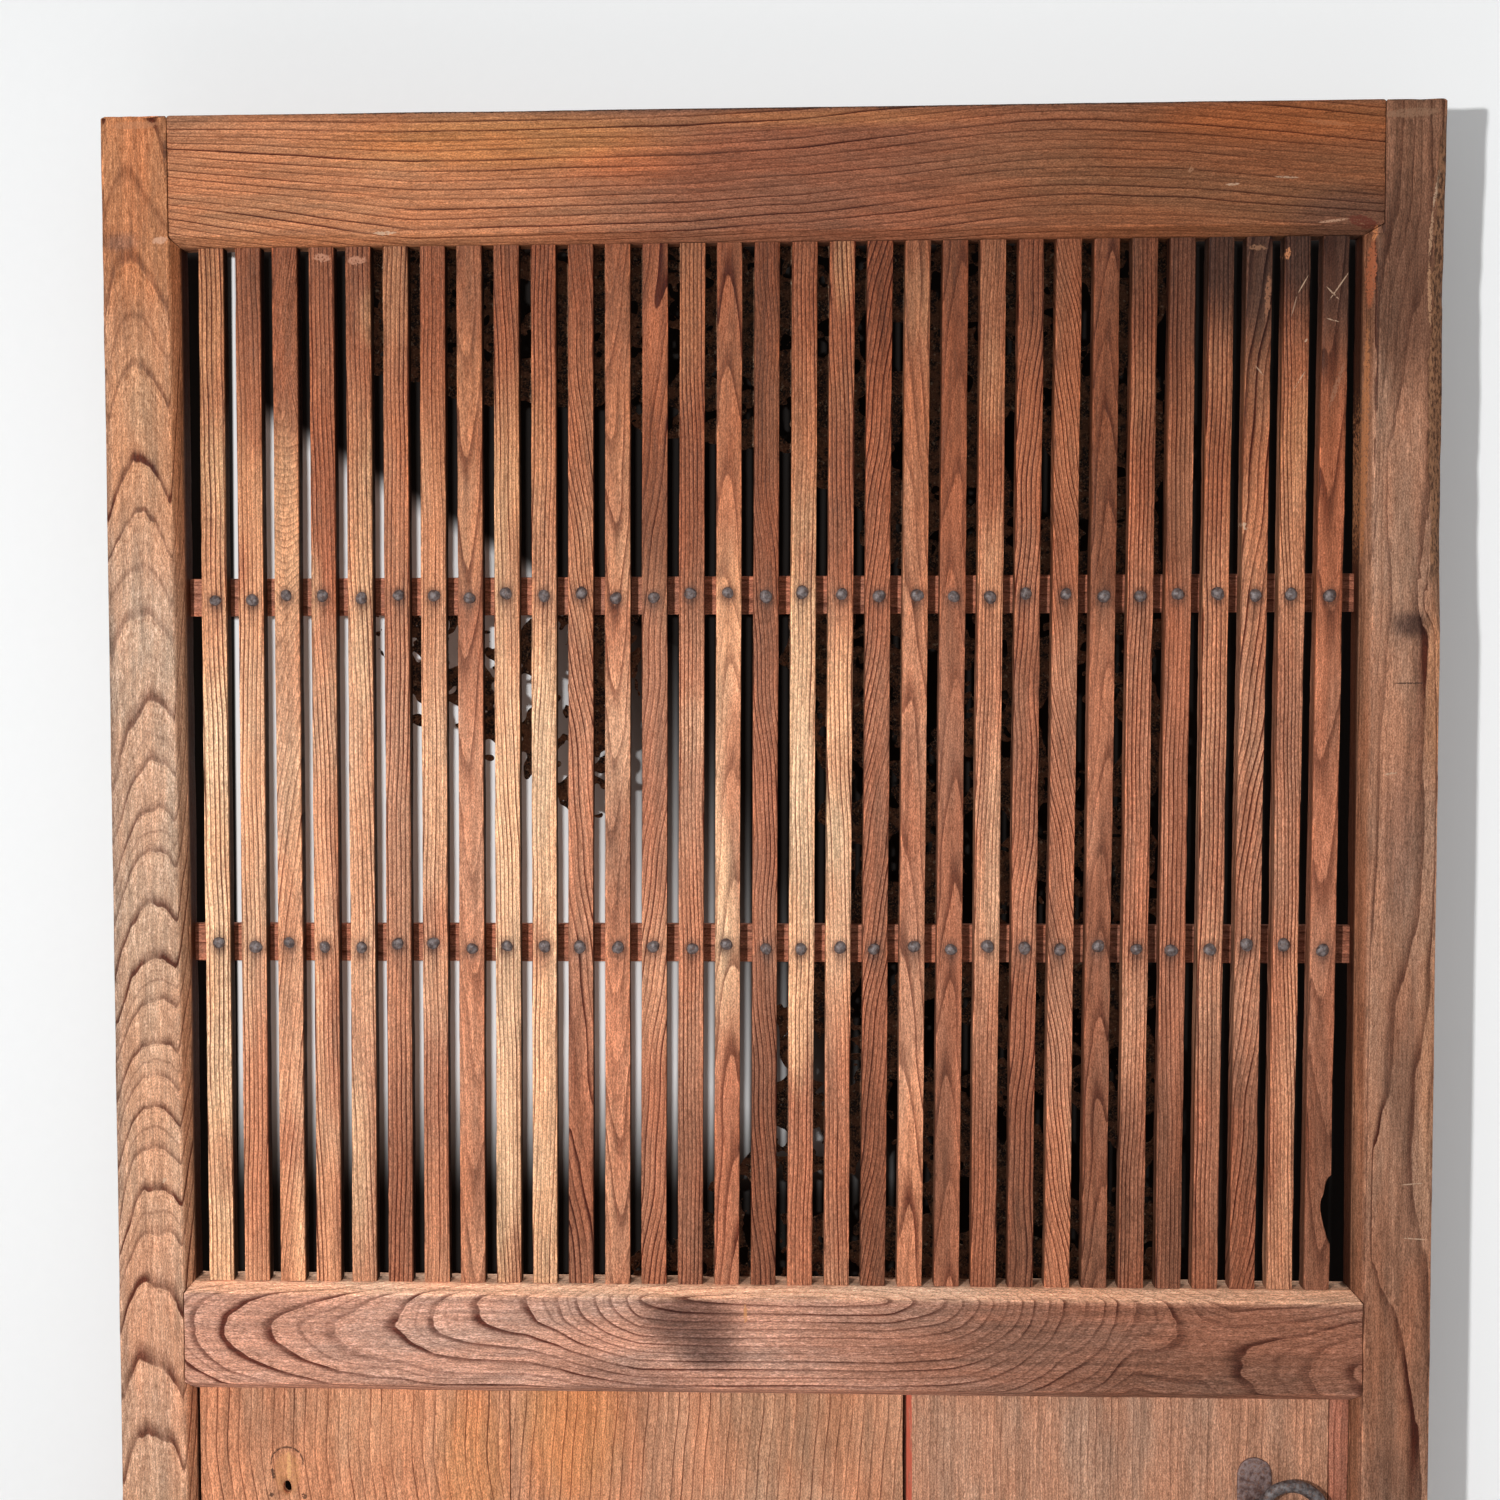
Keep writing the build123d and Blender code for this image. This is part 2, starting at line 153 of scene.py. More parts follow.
def loft(name, sections, wears):
    """A closed skin through sections with the same number of points, capped at both ends."""
    count = len(sections[0])
    vertices = [tuple(p) for section in sections for p in section]
    faces = []
    for s in range(len(sections) - 1):
        for p in range(count):
            q = (p + 1) % count
            faces.append((s * count + p, s * count + q, (s + 1) * count + q, (s + 1) * count + p))
    last = (len(sections) - 1) * count
    faces.append(tuple(reversed(range(count))))
    faces.append(tuple(range(last, last + count)))
    mesh = bpy.data.meshes.new(name)
    mesh.from_pydata(vertices, [], faces)
    write_attribute(mesh, "wear", "FLOAT", [w for wear in wears for w in wear])
    tidy(mesh)
    piece = bpy.data.objects.new(name, mesh)
    bpy.context.scene.collection.objects.link(piece)
    return piece


def tidy(mesh, angle=48):
    """Merges doubled points, turns all faces outwards and shades them smooth up to an angle."""
    work = bmesh.new()
    work.from_mesh(mesh)
    bmesh.ops.remove_doubles(work, verts=work.verts, dist=2e-6)
    bmesh.ops.recalc_face_normals(work, faces=work.faces)
    work.to_mesh(mesh)
    work.free()
    mesh.shade_smooth()
    mesh.set_sharp_from_angle(angle=math.radians(angle))


def stations(low, high, pitch, also=()):
    """Places along a timber: evenly spaced, closer at its two ends and with some of its own."""
    count = max(2, round((high - low) / pitch))
    places = list(np.linspace(low, high, count + 1)) + [low + 0.0006, low + 0.002, high - 0.002, high - 0.0006]
    places += [p for p in also if low < p < high]
    places = sorted(places)
    kept = [places[0]]
    for place in places[1:]:
        if place - kept[-1] > 0.0003:
            kept.append(place)
    kept[-1] = high
    return kept


def weather(mesh, seed, arris, sway, along=2):
    """Wears a timber: dents and rounds its arrises and hollows its faces a little, inwards only."""
    co = positions(mesh)
    normals = np.array([v.normal for v in mesh.vertices])
    wear = read_wear(mesh)
    stretch = np.ones(3)
    stretch[along] = 0.35
    moved = np.zeros(len(co))
    for i, place in enumerate(co * stretch):
        moved[i] = sway * max(0.0, 0.45 + wave(place, 0.035, seed))
        if wear[i] > 0:
            rough = 0.45 + wave(place, 0.016, seed + 1)
            nick = max(0.0, wave(place, 0.0055, seed + 2) - 0.28)
            moved[i] += wear[i] * arris * (max(0.0, rough) + 2.2 * nick)
    co -= normals * moved[:, None]
    mesh.vertices.foreach_set("co", co.astype(np.float32).ravel())
    mesh.update()


# Wood: where each vertex lies in the tree, and its colour before the rings are drawn


def write_rings(piece, along, u, v, t, growth, rows, seed, late=0.52):
    """Writes ring numbers t + growth * sqrt(u * u + v * v), and where the fibres run.

    rows is how many rows of fine pores each ring shows, and late the share of it before its dark wood.
    """
    co = positions(piece.data)
    chance = random.Random(seed)
    shift = np.array([chance.uniform(-3, 3), chance.uniform(-3, 3), chance.uniform(-3, 3)])
    length, side = (co[:, 2], co[:, 0]) if along == "z" else (co[:, 0], co[:, 2])
    write_attribute(piece.data, "rings", "FLOAT_VECTOR", np.stack([u, v, t], 1))
    write_attribute(piece.data, "fibre", "FLOAT_VECTOR", np.stack([side, co[:, 1], length], 1) + shift)
    grain = np.tile(np.array([growth, rows, 0.0]), (len(co), 1))
    grain[:, 2] = late
    write_attribute(piece.data, "grain", "FLOAT_VECTOR", grain)


def cut_from_log(
    piece, seed, along="z", across=0.0, depth=0.06, lean=0.0, taper=0.07, spacing=0.005,
    middle=1.2, wander=0.002, face=FRONT, growth=1.0, rows=0.0, late=0.62,
):
    """Writes where a timber lay in its log.

    across and depth place the pith beside and behind the timber's face. lean is how far it drifts
    across in a metre, and taper how fast the rings run out along the face, which draws arches.
    """
    co = positions(piece.data)
    length, side = (co[:, 2], co[:, 0]) if along == "z" else (co[:, 0], co[:, 2])
    chance = random.Random(seed)
    drift = sum(
        wander * size * np.sin(length * 2 * math.pi / pitch + chance.uniform(0, 6.28))
        for size, pitch in ((1.0, 0.43), (0.55, 0.19), (0.25, 0.083))
    )
    u = (side - across - lean * (length - middle) - drift) / spacing
    v = (co[:, 1] - face - depth) / spacing
    t = taper * (length - middle) / spacing
    write_rings(piece, along, u, v, t, growth, rows, seed, late)


def tint(piece, colour, bands=0.8, stains=(), shade=None):
    """Gives a timber its ground colour, its stains and how dark its ring bands are.

    A stain is its place x and z, its half width and half height, its colour and its strength.
    shade gives a factor for each vertex from the vertices' places: painted shade, in places with colour too.
    """
    co = positions(piece.data)
    tone = np.tile(np.array([*colour, 0.0]), (len(co), 1))
    tone[:, 3] = bands
    for x, z, wide, high, ink, strength in stains:
        far = np.sqrt(((co[:, 0] - x) / wide) ** 2 + ((co[:, 2] - z) / high) ** 2)
        share = strength * (1 - smooth(0.35, 1.0, far))
        tone[:, :3] += (np.array(ink) - tone[:, :3]) * share[:, None]
    if shade is not None:
        tone[:, :3] *= shade(co)
    write_attribute(piece.data, "tone", "FLOAT_COLOR", tone)


# Materials


class Shade:
    """A material under construction, with short ways of adding its nodes."""

    def __init__(self, name):
        self.material = bpy.data.materials.new(name)
        self.material.use_nodes = True
        self.tree = self.material.node_tree
        self.shader = self.tree.nodes["Principled BSDF"]

    def add(self, kind, inputs=None, output=0, **settings):
        """Adds a node with its settings and inputs, and returns one of its outputs."""
        made = self.tree.nodes.new("ShaderNode" + kind)
        for name, value in settings.items():
            setattr(made, name, value)
        for key, value in (inputs or {}).items():
            self.put(made.inputs[key], value)
        return made.outputs[output]

    def put(self, socket, value):
        """Puts a value, or another node's output, in a socket."""
        if isinstance(value, bpy.types.NodeSocket):
            self.tree.links.new(value, socket)
        else:
            socket.default_value = value

    def sum(self, operation, *values, clamp=False):
        """One step of arithmetic."""
        return self.add("Math", dict(enumerate(values)), operation=operation, use_clamp=clamp)

    def scale(self, vector, by):
        """A vector stretched along each axis."""
        return self.add("VectorMath", {0: vector, 1: by}, operation="MULTIPLY")

    def noise(self, vector, by, detail=2.0, rough=0.5, scale=1.0):
        """Noise over a stretched vector, from 0 to 1."""
        inputs = {"Vector": self.scale(vector, by), "Scale": scale, "Detail": detail, "Roughness": rough}
        return self.add("TexNoise", inputs, output="Fac")

    def ramp(self, value, low, high, first=0.0, last=1.0):
        """A smooth turn from first to last as the value goes from low to high."""
        inputs = {"Value": value, "From Min": low, "From Max": high, "To Min": first, "To Max": last}
        return self.add("MapRange", inputs, interpolation_type="SMOOTHSTEP")

    def blend(self, share, first, second, how="MIX"):
        """Two colours mixed."""
        values = [v if isinstance(v, bpy.types.NodeSocket) else (*v, 1.0) for v in (first, second)]
        return self.add("Mix", {0: share, 6: values[0], 7: values[1]}, output=2, data_type="RGBA", blend_type=how)

    def grey(self, value):
        """A number as a colour with equal channels."""
        return self.add("CombineColor", {0: value, 1: value, 2: value})

    def mark(self, place, ends, half):
        """1 in a slim ellipse between two points across and up the front, and 0 outside it."""
        x0, z0, x1, z1 = ends
        reach = math.hypot(x1 - x0, z1 - z0) / 2
        turn = Vector((x1 - x0, 0, z1 - z0)).normalized()
        local = self.add("VectorMath", {0: place, 1: ((x0 + x1) / 2, 0, (z0 + z1) / 2)}, operation="SUBTRACT")
        along = self.add("VectorMath", {0: local, 1: turn / reach}, output="Value", operation="DOT_PRODUCT")
        aside = Vector((-turn.z, 0, turn.x)) / half
        aside = self.add("VectorMath", {0: local, 1: aside}, output="Value", operation="DOT_PRODUCT")
        far = self.sum("MULTIPLY_ADD", along, along, self.sum("MULTIPLY", aside, aside))
        return self.ramp(far, 0.5, 1.0, 1.0, 0.0)


def wood_material(name, marks=(), extra=None):
    """Bare weathered ring-porous wood, read from the tree coordinates of its vertices.

    A mark is its two ends, its half width, its colour and its strength.
    """
    s = Shade(name)
    rings = s.add("Attribute", output="Vector", attribute_name="rings")
    fibre = s.add("Attribute", output="Vector", attribute_name="fibre")
    grain = s.add("Attribute", output="Vector", attribute_name="grain")
    tone = s.add("Attribute", output="Color", attribute_name="tone")
    bands = s.add("Attribute", output="Alpha", attribute_name="tone")
    wear = s.add("Attribute", output="Fac", attribute_name="wear")

    # The number of each ring, bent by slow and by fine wander
    u, v, t = (s.add("SeparateXYZ", {0: rings}, output=i) for i in range(3))
    growth, rows, begins = (s.add("SeparateXYZ", {0: grain}, output=i) for i in range(3))
    radius = s.sum("SQRT", s.sum("ADD", s.sum("MULTIPLY", u, u), s.sum("MULTIPLY", v, v)))
    ring = s.sum("MULTIPLY_ADD", radius, growth, t)
    slow = s.noise(fibre, (38, 38, 6), detail=2)
    fine = s.noise(fibre, (300, 300, 26), detail=2)
    uneven = s.ramp(begins, 0.56, 0.60, 1.0, 0.3)
    ring = s.sum("MULTIPLY_ADD", s.sum("MULTIPLY_ADD", slow, 0.8, -0.4), s.ramp(begins, 0.68, 0.74, 1.0, 0.5), ring)
    ring = s.sum("MULTIPLY_ADD", s.sum("MULTIPLY_ADD", fine, 0.15, -0.075), uneven, ring)
    part = s.sum("FRACT", ring)
    chance = s.add("TexWhiteNoise", {"W": s.sum("FLOOR", ring)}, noise_dimensions="1D", output="Value")

    # Each ring darkens outwards to its late wood and ends at once, often after a fainter band
    late = s.ramp(part, s.sum("MULTIPLY_ADD", chance, 0.07, begins), 0.95)
    late = s.sum("MULTIPLY", s.sum("POWER", late, 1.2), s.ramp(part, 0.97, 1.0, 1.0, 0.0))
    faded = s.ramp(s.noise(fibre, (60, 60, 7), detail=1), 0.36, 0.60, 0.55, 1.0)
    late = s.sum("MULTIPLY", s.sum("MULTIPLY", late, faded), s.sum("MULTIPLY_ADD", chance, -0.65, 1.2))
    rib = s.sum("MULTIPLY", s.ramp(part, 0.40, 0.48), s.ramp(part, 0.48, 0.56, 1.0, 0.0))
    late = s.sum("MAXIMUM", late, s.sum("MULTIPLY", rib, s.ramp(chance, 0.45, 0.75, 0.0, 0.36)))
    late = s.sum("MULTIPLY", late, bands)
    early = s.ramp(part, 0.0, 0.45, 1.0, 0.25)

    # Fibres, pores and pale flecks drawn out along the timber
    streak = s.noise(fibre, (700, 700, 45), detail=4, rough=0.65)
    pores = s.noise(fibre, (1000, 1000, 170), detail=2, rough=0.6)
    flecks = s.noise(fibre, (820, 820, 170), detail=2, rough=0.55)
    speck = s.noise(fibre, (1300, 1300, 600), detail=1)
    cloud = s.noise(fibre, (26, 26, 6), detail=3, rough=0.6)
    patch = s.noise(fibre, (170, 170, 8), detail=3, rough=0.62)
    row = s.sum("SINE", s.sum("MULTIPLY", s.sum("MULTIPLY", ring, rows), 6.2832))
    row = s.sum("MULTIPLY", row, s.ramp(rows, 0.0, 1.0, 0.0, 0.07))

    warm = s.blend(s.ramp(cloud, 0.36, 0.66), (1.07, 0.97, 0.92), (0.95, 1.01, 1.05))
    colour = s.blend(1.0, tone, warm, "MULTIPLY")
    colour = s.blend(1.0, colour, s.grey(s.ramp(patch, 0.30, 0.70, 0.80, 1.20)), "MULTIPLY")
    colour = s.blend(1.0, colour, s.grey(s.ramp(streak, 0.30, 0.70, 0.82, 1.18)), "MULTIPLY")
    colour = s.blend(1.0, colour, s.grey(s.ramp(speck, 0.30, 0.70, 0.72, 1.28)), "MULTIPLY")
    ray = s.sum("MULTIPLY", s.ramp(flecks, 0.52, 0.64), s.ramp(rows, 0.0, 5.0, 0.42, 0.78))
    colour = s.blend(ray, colour, s.blend(1.0, colour, (1.45, 1.55, 1.65), "MULTIPLY"))
    pit = s.ramp(s.sum("ADD", pores, row), 0.53, 0.64)
    pit = s.sum("MULTIPLY", pit, s.sum("MULTIPLY_ADD", early, 0.30, 0.28))
    colour = s.blend(pit, colour, s.blend(1.0, colour, (0.42, 0.32, 0.29), "MULTIPLY"))
    colour = s.blend(1.0, colour, s.grey(s.sum("MULTIPLY_ADD", early, 0.22, 0.92)), "MULTIPLY")
    colour = s.blend(late, colour, s.blend(1.0, colour, (0.19, 0.09, 0.075), "MULTIPLY"))

    # Arrises are rubbed pale in places and grimed in others
    rub = s.noise(fibre, (160, 160, 40), detail=3, rough=0.65)
    rubbed = s.sum("MULTIPLY", s.ramp(wear, 0.25, 0.95), s.ramp(rub, 0.46, 0.62))
    colour = s.blend(s.sum("MULTIPLY", rubbed, 0.55), colour, s.blend(1.0, colour, (1.75, 1.60, 1.48), "MULTIPLY"))
    grimed = s.sum("MULTIPLY", s.ramp(wear, 0.25, 0.95), s.ramp(rub, 0.48, 0.36))
    colour = s.blend(s.sum("MULTIPLY", grimed, 0.62), colour, s.blend(1.0, colour, (0.32, 0.27, 0.25), "MULTIPLY"))
    if marks or extra:
        place = s.add("TexCoord", output="Object")
        broken = s.ramp(s.noise(place, (620, 620, 620), detail=2), 0.34, 0.48)
        ragged = s.add("TexNoise", {"Vector": place, "Scale": 380.0, "Detail": 3.0}, output="Color")
        ragged = s.add("VectorMath", {0: ragged, 1: (0.5, 0.5, 0.5)}, operation="SUBTRACT")
        ragged = s.add("VectorMath", {0: s.scale(ragged, (0.004, 0, 0.004)), 1: place}, operation="ADD")
        for ends, half, ink, strength in marks:
            share = s.mark(ragged if half > 0.0012 else place, ends, half)
            share = s.sum("MULTIPLY", s.sum("MULTIPLY", share, broken), strength)
            colour = s.blend(share, colour, ink)
        if extra:
            colour = extra(s, place, broken, colour)
    s.put(s.shader.inputs["Base Color"], colour)

    s.put(s.shader.inputs["Roughness"], s.sum("ADD", s.ramp(streak, 0.3, 0.7, 0.48, 0.64), s.sum("MULTIPLY", pit, 0.3)))
    s.shader.inputs["Specular IOR Level"].default_value = 0.11
    height = s.sum("MULTIPLY_ADD", streak, 0.8, s.sum("MULTIPLY", pit, -0.9))
    height = s.sum("ADD", height, s.sum("MULTIPLY", late, 0.35))
    height = s.sum("MULTIPLY_ADD", patch, 0.8, height)
    bump = s.add("Bump", {"Strength": 0.5, "Distance": 0.0006, "Height": height}, output="Normal")
    s.put(s.shader.inputs["Normal"], bump)
    return s.material


def iron_material(name, ground, rust, amount):
    """Forged iron with a dark skin, scale and specks of rust."""
    s = Shade(name)
    place = s.add("TexCoord", output="Object")
    skin = s.noise(place, (260, 260, 260), detail=4, rough=0.6)
    scale = s.noise(place, (900, 900, 900), detail=3, rough=0.6)
    spots = s.noise(place, (420, 420, 420), detail=4, rough=0.7)
    colour = s.blend(s.ramp(skin, 0.35, 0.65), mix(ground, (0, 0, 0), 0.45), mix(ground, (1, 1, 1), 0.10))
    rusty = s.sum("MULTIPLY", s.ramp(spots, 0.48, 0.66), amount)
    colour = s.blend(rusty, colour, s.blend(s.ramp(scale, 0.35, 0.65), mix(rust, (0, 0, 0), 0.5), rust))
    s.put(s.shader.inputs["Base Color"], colour)
    s.shader.inputs["Metallic"].default_value = 0.35
    s.put(s.shader.inputs["Roughness"], s.sum("ADD", s.ramp(skin, 0.3, 0.7, 0.36, 0.56), s.sum("MULTIPLY", rusty, 0.3)))
    height = s.sum("MULTIPLY_ADD", scale, 0.5, s.sum("ADD", skin, s.sum("MULTIPLY", rusty, 0.4)))
    bump = s.add("Bump", {"Strength": 0.55, "Distance": 0.0008, "Height": height}, output="Normal")
    s.put(s.shader.inputs["Normal"], bump)
    return s.material


def crust_material():
    """Rust, dirt and dust on what is left of the wire mesh."""
    s = Shade("crust")
    place = s.add("TexCoord", output="Object")
    lumps = s.noise(place, (120, 120, 120), detail=4, rough=0.6)
    grit = s.noise(place, (620, 620, 620), detail=3, rough=0.65)
    dust = s.noise(place, (260, 260, 260), detail=3, rough=0.6)
    colour = s.blend(s.ramp(lumps, 0.42, 0.60), (0.018, 0.009, 0.006), (0.20, 0.085, 0.042))
    colour = s.blend(s.ramp(grit, 0.48, 0.66), colour, (0.34, 0.17, 0.09))
    colour = s.blend(s.sum("MULTIPLY", s.ramp(dust, 0.60, 0.70), 0.8), colour, (0.55, 0.40, 0.27))
    s.put(s.shader.inputs["Base Color"], colour)
    s.put(s.shader.inputs["Roughness"], s.ramp(grit, 0.3, 0.7, 0.80, 0.98))
    height = s.sum("MULTIPLY_ADD", lumps, 1.0, s.sum("MULTIPLY", grit, 0.5))
    bump = s.add("Bump", {"Strength": 0.9, "Distance": 0.002, "Height": height}, output="Normal")
    s.put(s.shader.inputs["Normal"], bump)
    return s.material


# Marks on the wood: two ends across and up, half width, colour and strength
PALE, RAW, BLACK = (0.60, 0.40, 0.27), (0.62, 0.28, 0.12), (0.05, 0.025, 0.018)
FRAME_MARKS = (
    ((-0.490, 1.6605, -0.476, 1.6630), 0.0030, (0.62, 0.34, 0.22), 0.8),
    ((-0.4925, 0.900, -0.4880, 0.904), 0.0016, PALE, 0.9),
    ((-0.5245, 1.7520, -0.4800, 1.7535), 0.0035, (0.50, 0.22, 0.11), 0.6),
    ((-0.478, 1.745, -0.4770, 1.705), 0.0022, BLACK, 0.5),
    ((-0.313, 1.6650, -0.291, 1.6656), 0.0014, PALE, 0.8),
    ((0.3585, 1.6950, 0.3705, 1.6960), 0.0011, PALE, 0.7),
    ((0.3960, 1.7010, 0.4170, 1.7000), 0.0009, PALE, 0.6),
    ((0.3290, 1.7062, 0.3345, 1.7085), 0.0016, (0.40, 0.20, 0.11), 0.7),
    ((0.4180, 1.7440, 0.4600, 1.7400), 0.0020, (0.42, 0.16, 0.07), 0.6),
    ((0.4530, 1.6690, 0.4790, 1.6620), 0.0050, (0.13, 0.030, 0.018), 0.85),
    ((0.4300, 1.6650, 0.4560, 1.6680), 0.0012, (0.50, 0.28, 0.18), 0.8),
    ((0.4745, 1.6560, 0.4725, 1.5960), 0.0034, (0.42, 0.125, 0.055), 0.85),
    ((0.4775, 1.6640, 0.4740, 1.6500), 0.0018, (0.62, 0.24, 0.10), 0.8),
    ((0.4720, 1.6000, 0.4700, 1.3900), 0.0022, (0.52, 0.20, 0.08), 0.75),
    ((0.5252, 1.7080, 0.5190, 1.6740), 0.0013, PALE, 0.8),
    ((0.5192, 1.6760, 0.5168, 1.6350), 0.0014, (0.52, 0.30, 0.18), 0.8),
    ((0.5166, 1.6380, 0.5185, 1.5800), 0.0015, (0.50, 0.27, 0.15), 0.8),
    ((0.5190, 1.5820, 0.5200, 1.4600), 0.0014, (0.45, 0.24, 0.13), 0.7),
    ((-0.4700, 1.7598, 0.4700, 1.7598), 0.0013, BLACK, 0.9),
    ((0.4830, 1.7598, 0.5290, 1.7598), 0.0013, BLACK, 0.8),
    ((0.4790, 1.7480, 0.5260, 1.7500), 0.0040, (0.30, 0.165, 0.10), 0.7),
    ((0.4925, 1.3050, 0.5204, 1.3052), 0.0007, BLACK, 0.9),
    ((0.4870, 1.2330, 0.4980, 1.2345), 0.0010, PALE, 0.7),
    ((0.5040, 0.9050, 0.5236, 0.9069), 0.0006, PALE, 0.7),
    ((0.5046, 0.8624, 0.5280, 0.8610), 0.0006, PALE, 0.8),
    ((-0.0174, 0.8048, -0.0170, 0.7868), 0.0016, RAW, 0.9),
)
SLAT_MARKS = (
    ((-0.3625, 1.6490, -0.3470, 1.6470), 0.0035, (0.50, 0.24, 0.15), 0.8),
    ((-0.3350, 1.6450, -0.3180, 1.6465), 0.0040, (0.50, 0.24, 0.15), 0.8),
    ((0.3790, 1.6480, 0.3950, 1.6475), 0.0022, (0.36, 0.18, 0.10), 0.6),
    ((0.3960, 1.6300, 0.3940, 1.5900), 0.0025, (0.34, 0.15, 0.08), 0.7),
    ((0.4110, 1.6480, 0.4095, 1.6380), 0.0020, (0.55, 0.22, 0.10), 0.9),
    ((0.4268, 1.6267, 0.4180, 1.6110), 0.0005, PALE, 0.8),
    ((0.4180, 1.6110, 0.4131, 1.5926), 0.0006, (0.40, 0.25, 0.17), 0.7),
    ((0.4601, 1.6311, 0.4418, 1.6048), 0.0006, PALE, 0.75),
    ((0.4401, 1.6173, 0.4510, 1.6062), 0.0007, PALE, 0.7),
    ((0.4253, 1.5518, 0.4145, 1.5346), 0.0006, PALE, 0.7),
    ((0.4403, 1.5923, 0.4512, 1.5891), 0.0006, PALE, 0.7),
    ((0.3855, 1.5560, 0.3926, 1.5474), 0.0006, PALE, 0.6),
    ((0.4240, 1.5735, 0.4262, 1.5765), 0.0009, PALE, 0.8),
    ((0.3775, 1.4330, 0.3800, 1.4260), 0.0018, PALE, 0.9),
    ((0.4560, 1.5600, 0.4430, 1.5200), 0.0020, (0.36, 0.17, 0.10), 0.6),
)
IMPRINT_MARKS = (
    ((-0.3948, 0.6760, -0.3948, 0.6340), 0.0120, (0.60, 0.27, 0.11), 0.55),
    ((-0.3936, 0.6755, -0.3934, 0.6470), 0.0019, (0.80, 0.42, 0.18), 0.9),
    ((-0.4075, 0.6600, -0.4060, 0.6500), 0.0016, BLACK, 0.9),
    ((-0.4100, 0.6385, -0.4065, 0.6355), 0.0018, BLACK, 0.8),
    ((-0.3830, 0.6375, -0.3785, 0.6345), 0.0022, BLACK, 0.8),
)


def imprint(s, place, broken, colour):
    """The outline that a lost ring plate has left on a board."""
    local = s.add("VectorMath", {0: place, 1: (-0.3950, 0.0, 0.6638)}, operation="SUBTRACT")
    flat = s.scale(local, (1, 0, 1))
    reach = s.add("VectorMath", {0: flat}, output="Value", operation="LENGTH")
    rim = s.sum("MULTIPLY", s.ramp(reach, 0.0121, 0.0130), s.ramp(reach, 0.0136, 0.0145, 1.0, 0.0))
    rim = s.sum("MULTIPLY", rim, s.ramp(s.add("SeparateXYZ", {0: local}, output=2), -0.004, 0.001))
    return s.blend(s.sum("MULTIPLY", s.sum("MULTIPLY", rim, broken), 0.85), colour, BLACK)


def red_edge(s, place, broken, colour):
    """Old red paint along the edge of a board, worn through in places."""
    across = s.add("SeparateXYZ", {0: place}, output=0)
    worn = s.noise(place, (420, 420, 45), detail=4, rough=0.6)
    limit = s.sum("MULTIPLY_ADD", worn, 0.0022, 0.1168)
    share = s.ramp(s.sum("SUBTRACT", across, limit), -0.0004, 0.0004, 1.0, 0.0)
    share = s.sum("MULTIPLY", share, s.ramp(worn, 0.40, 0.50, 0.45, 0.95))
    return s.blend(share, colour, s.blend(worn, (0.40, 0.050, 0.030), (0.66, 0.15, 0.085)))


def torn_arris(s, place, broken, colour):
    """The raw torn wood along the right stile's outer arris."""
    x, y, z = (s.add("SeparateXYZ", {0: place}, output=i) for i in range(3))
    share = s.sum("MULTIPLY", s.ramp(y, FRONT + 0.0002, FRONT + 0.0009), s.ramp(y, -0.009, -0.003, 1.0, 0.0))
    share = s.sum("MULTIPLY", share, s.ramp(x, 0.507, 0.510))
    share = s.sum("MULTIPLY", share, s.ramp(z, WORN_LOW + 0.02, WORN_LOW + 0.06))
    share = s.sum("MULTIPLY", share, s.ramp(z, WORN_HIGH - 0.03, WORN_HIGH, 0.85, 0.0))
    torn = s.noise(place, (520, 520, 200), detail=4, rough=0.7)
    return s.blend(share, colour, s.blend(s.ramp(torn, 0.40, 0.58), (0.055, 0.025, 0.015), (0.34, 0.165, 0.085)))


WOOD = wood_material("old_wood")
FRAME_WOOD = wood_material("frame_wood", FRAME_MARKS, torn_arris)
SLAT_WOOD = wood_material("slat_wood", SLAT_MARKS)
IMPRINTED_WOOD = wood_material("imprinted_wood", IMPRINT_MARKS, imprint)
PAINTED_WOOD = wood_material("painted_wood", extra=red_edge)
STUD_IRON = iron_material("stud_iron", (0.115, 0.078, 0.074), (0.16, 0.07, 0.04), 0.55)
PULL_IRON = iron_material("pull_iron", (0.085, 0.062, 0.062), (0.20, 0.085, 0.045), 0.6)
PLATE_IRON = iron_material("plate_iron", (0.160, 0.078, 0.066), (0.26, 0.105, 0.055), 0.7)
CRUST = crust_material()


def dress(piece, material, slot, *replaced, body="leaf"):
    """Gives a piece its material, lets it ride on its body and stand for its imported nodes."""
    piece.data.materials.append(material)
    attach(piece, body)
    if replaced:
        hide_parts(*replaced)
    return piece


# Frame


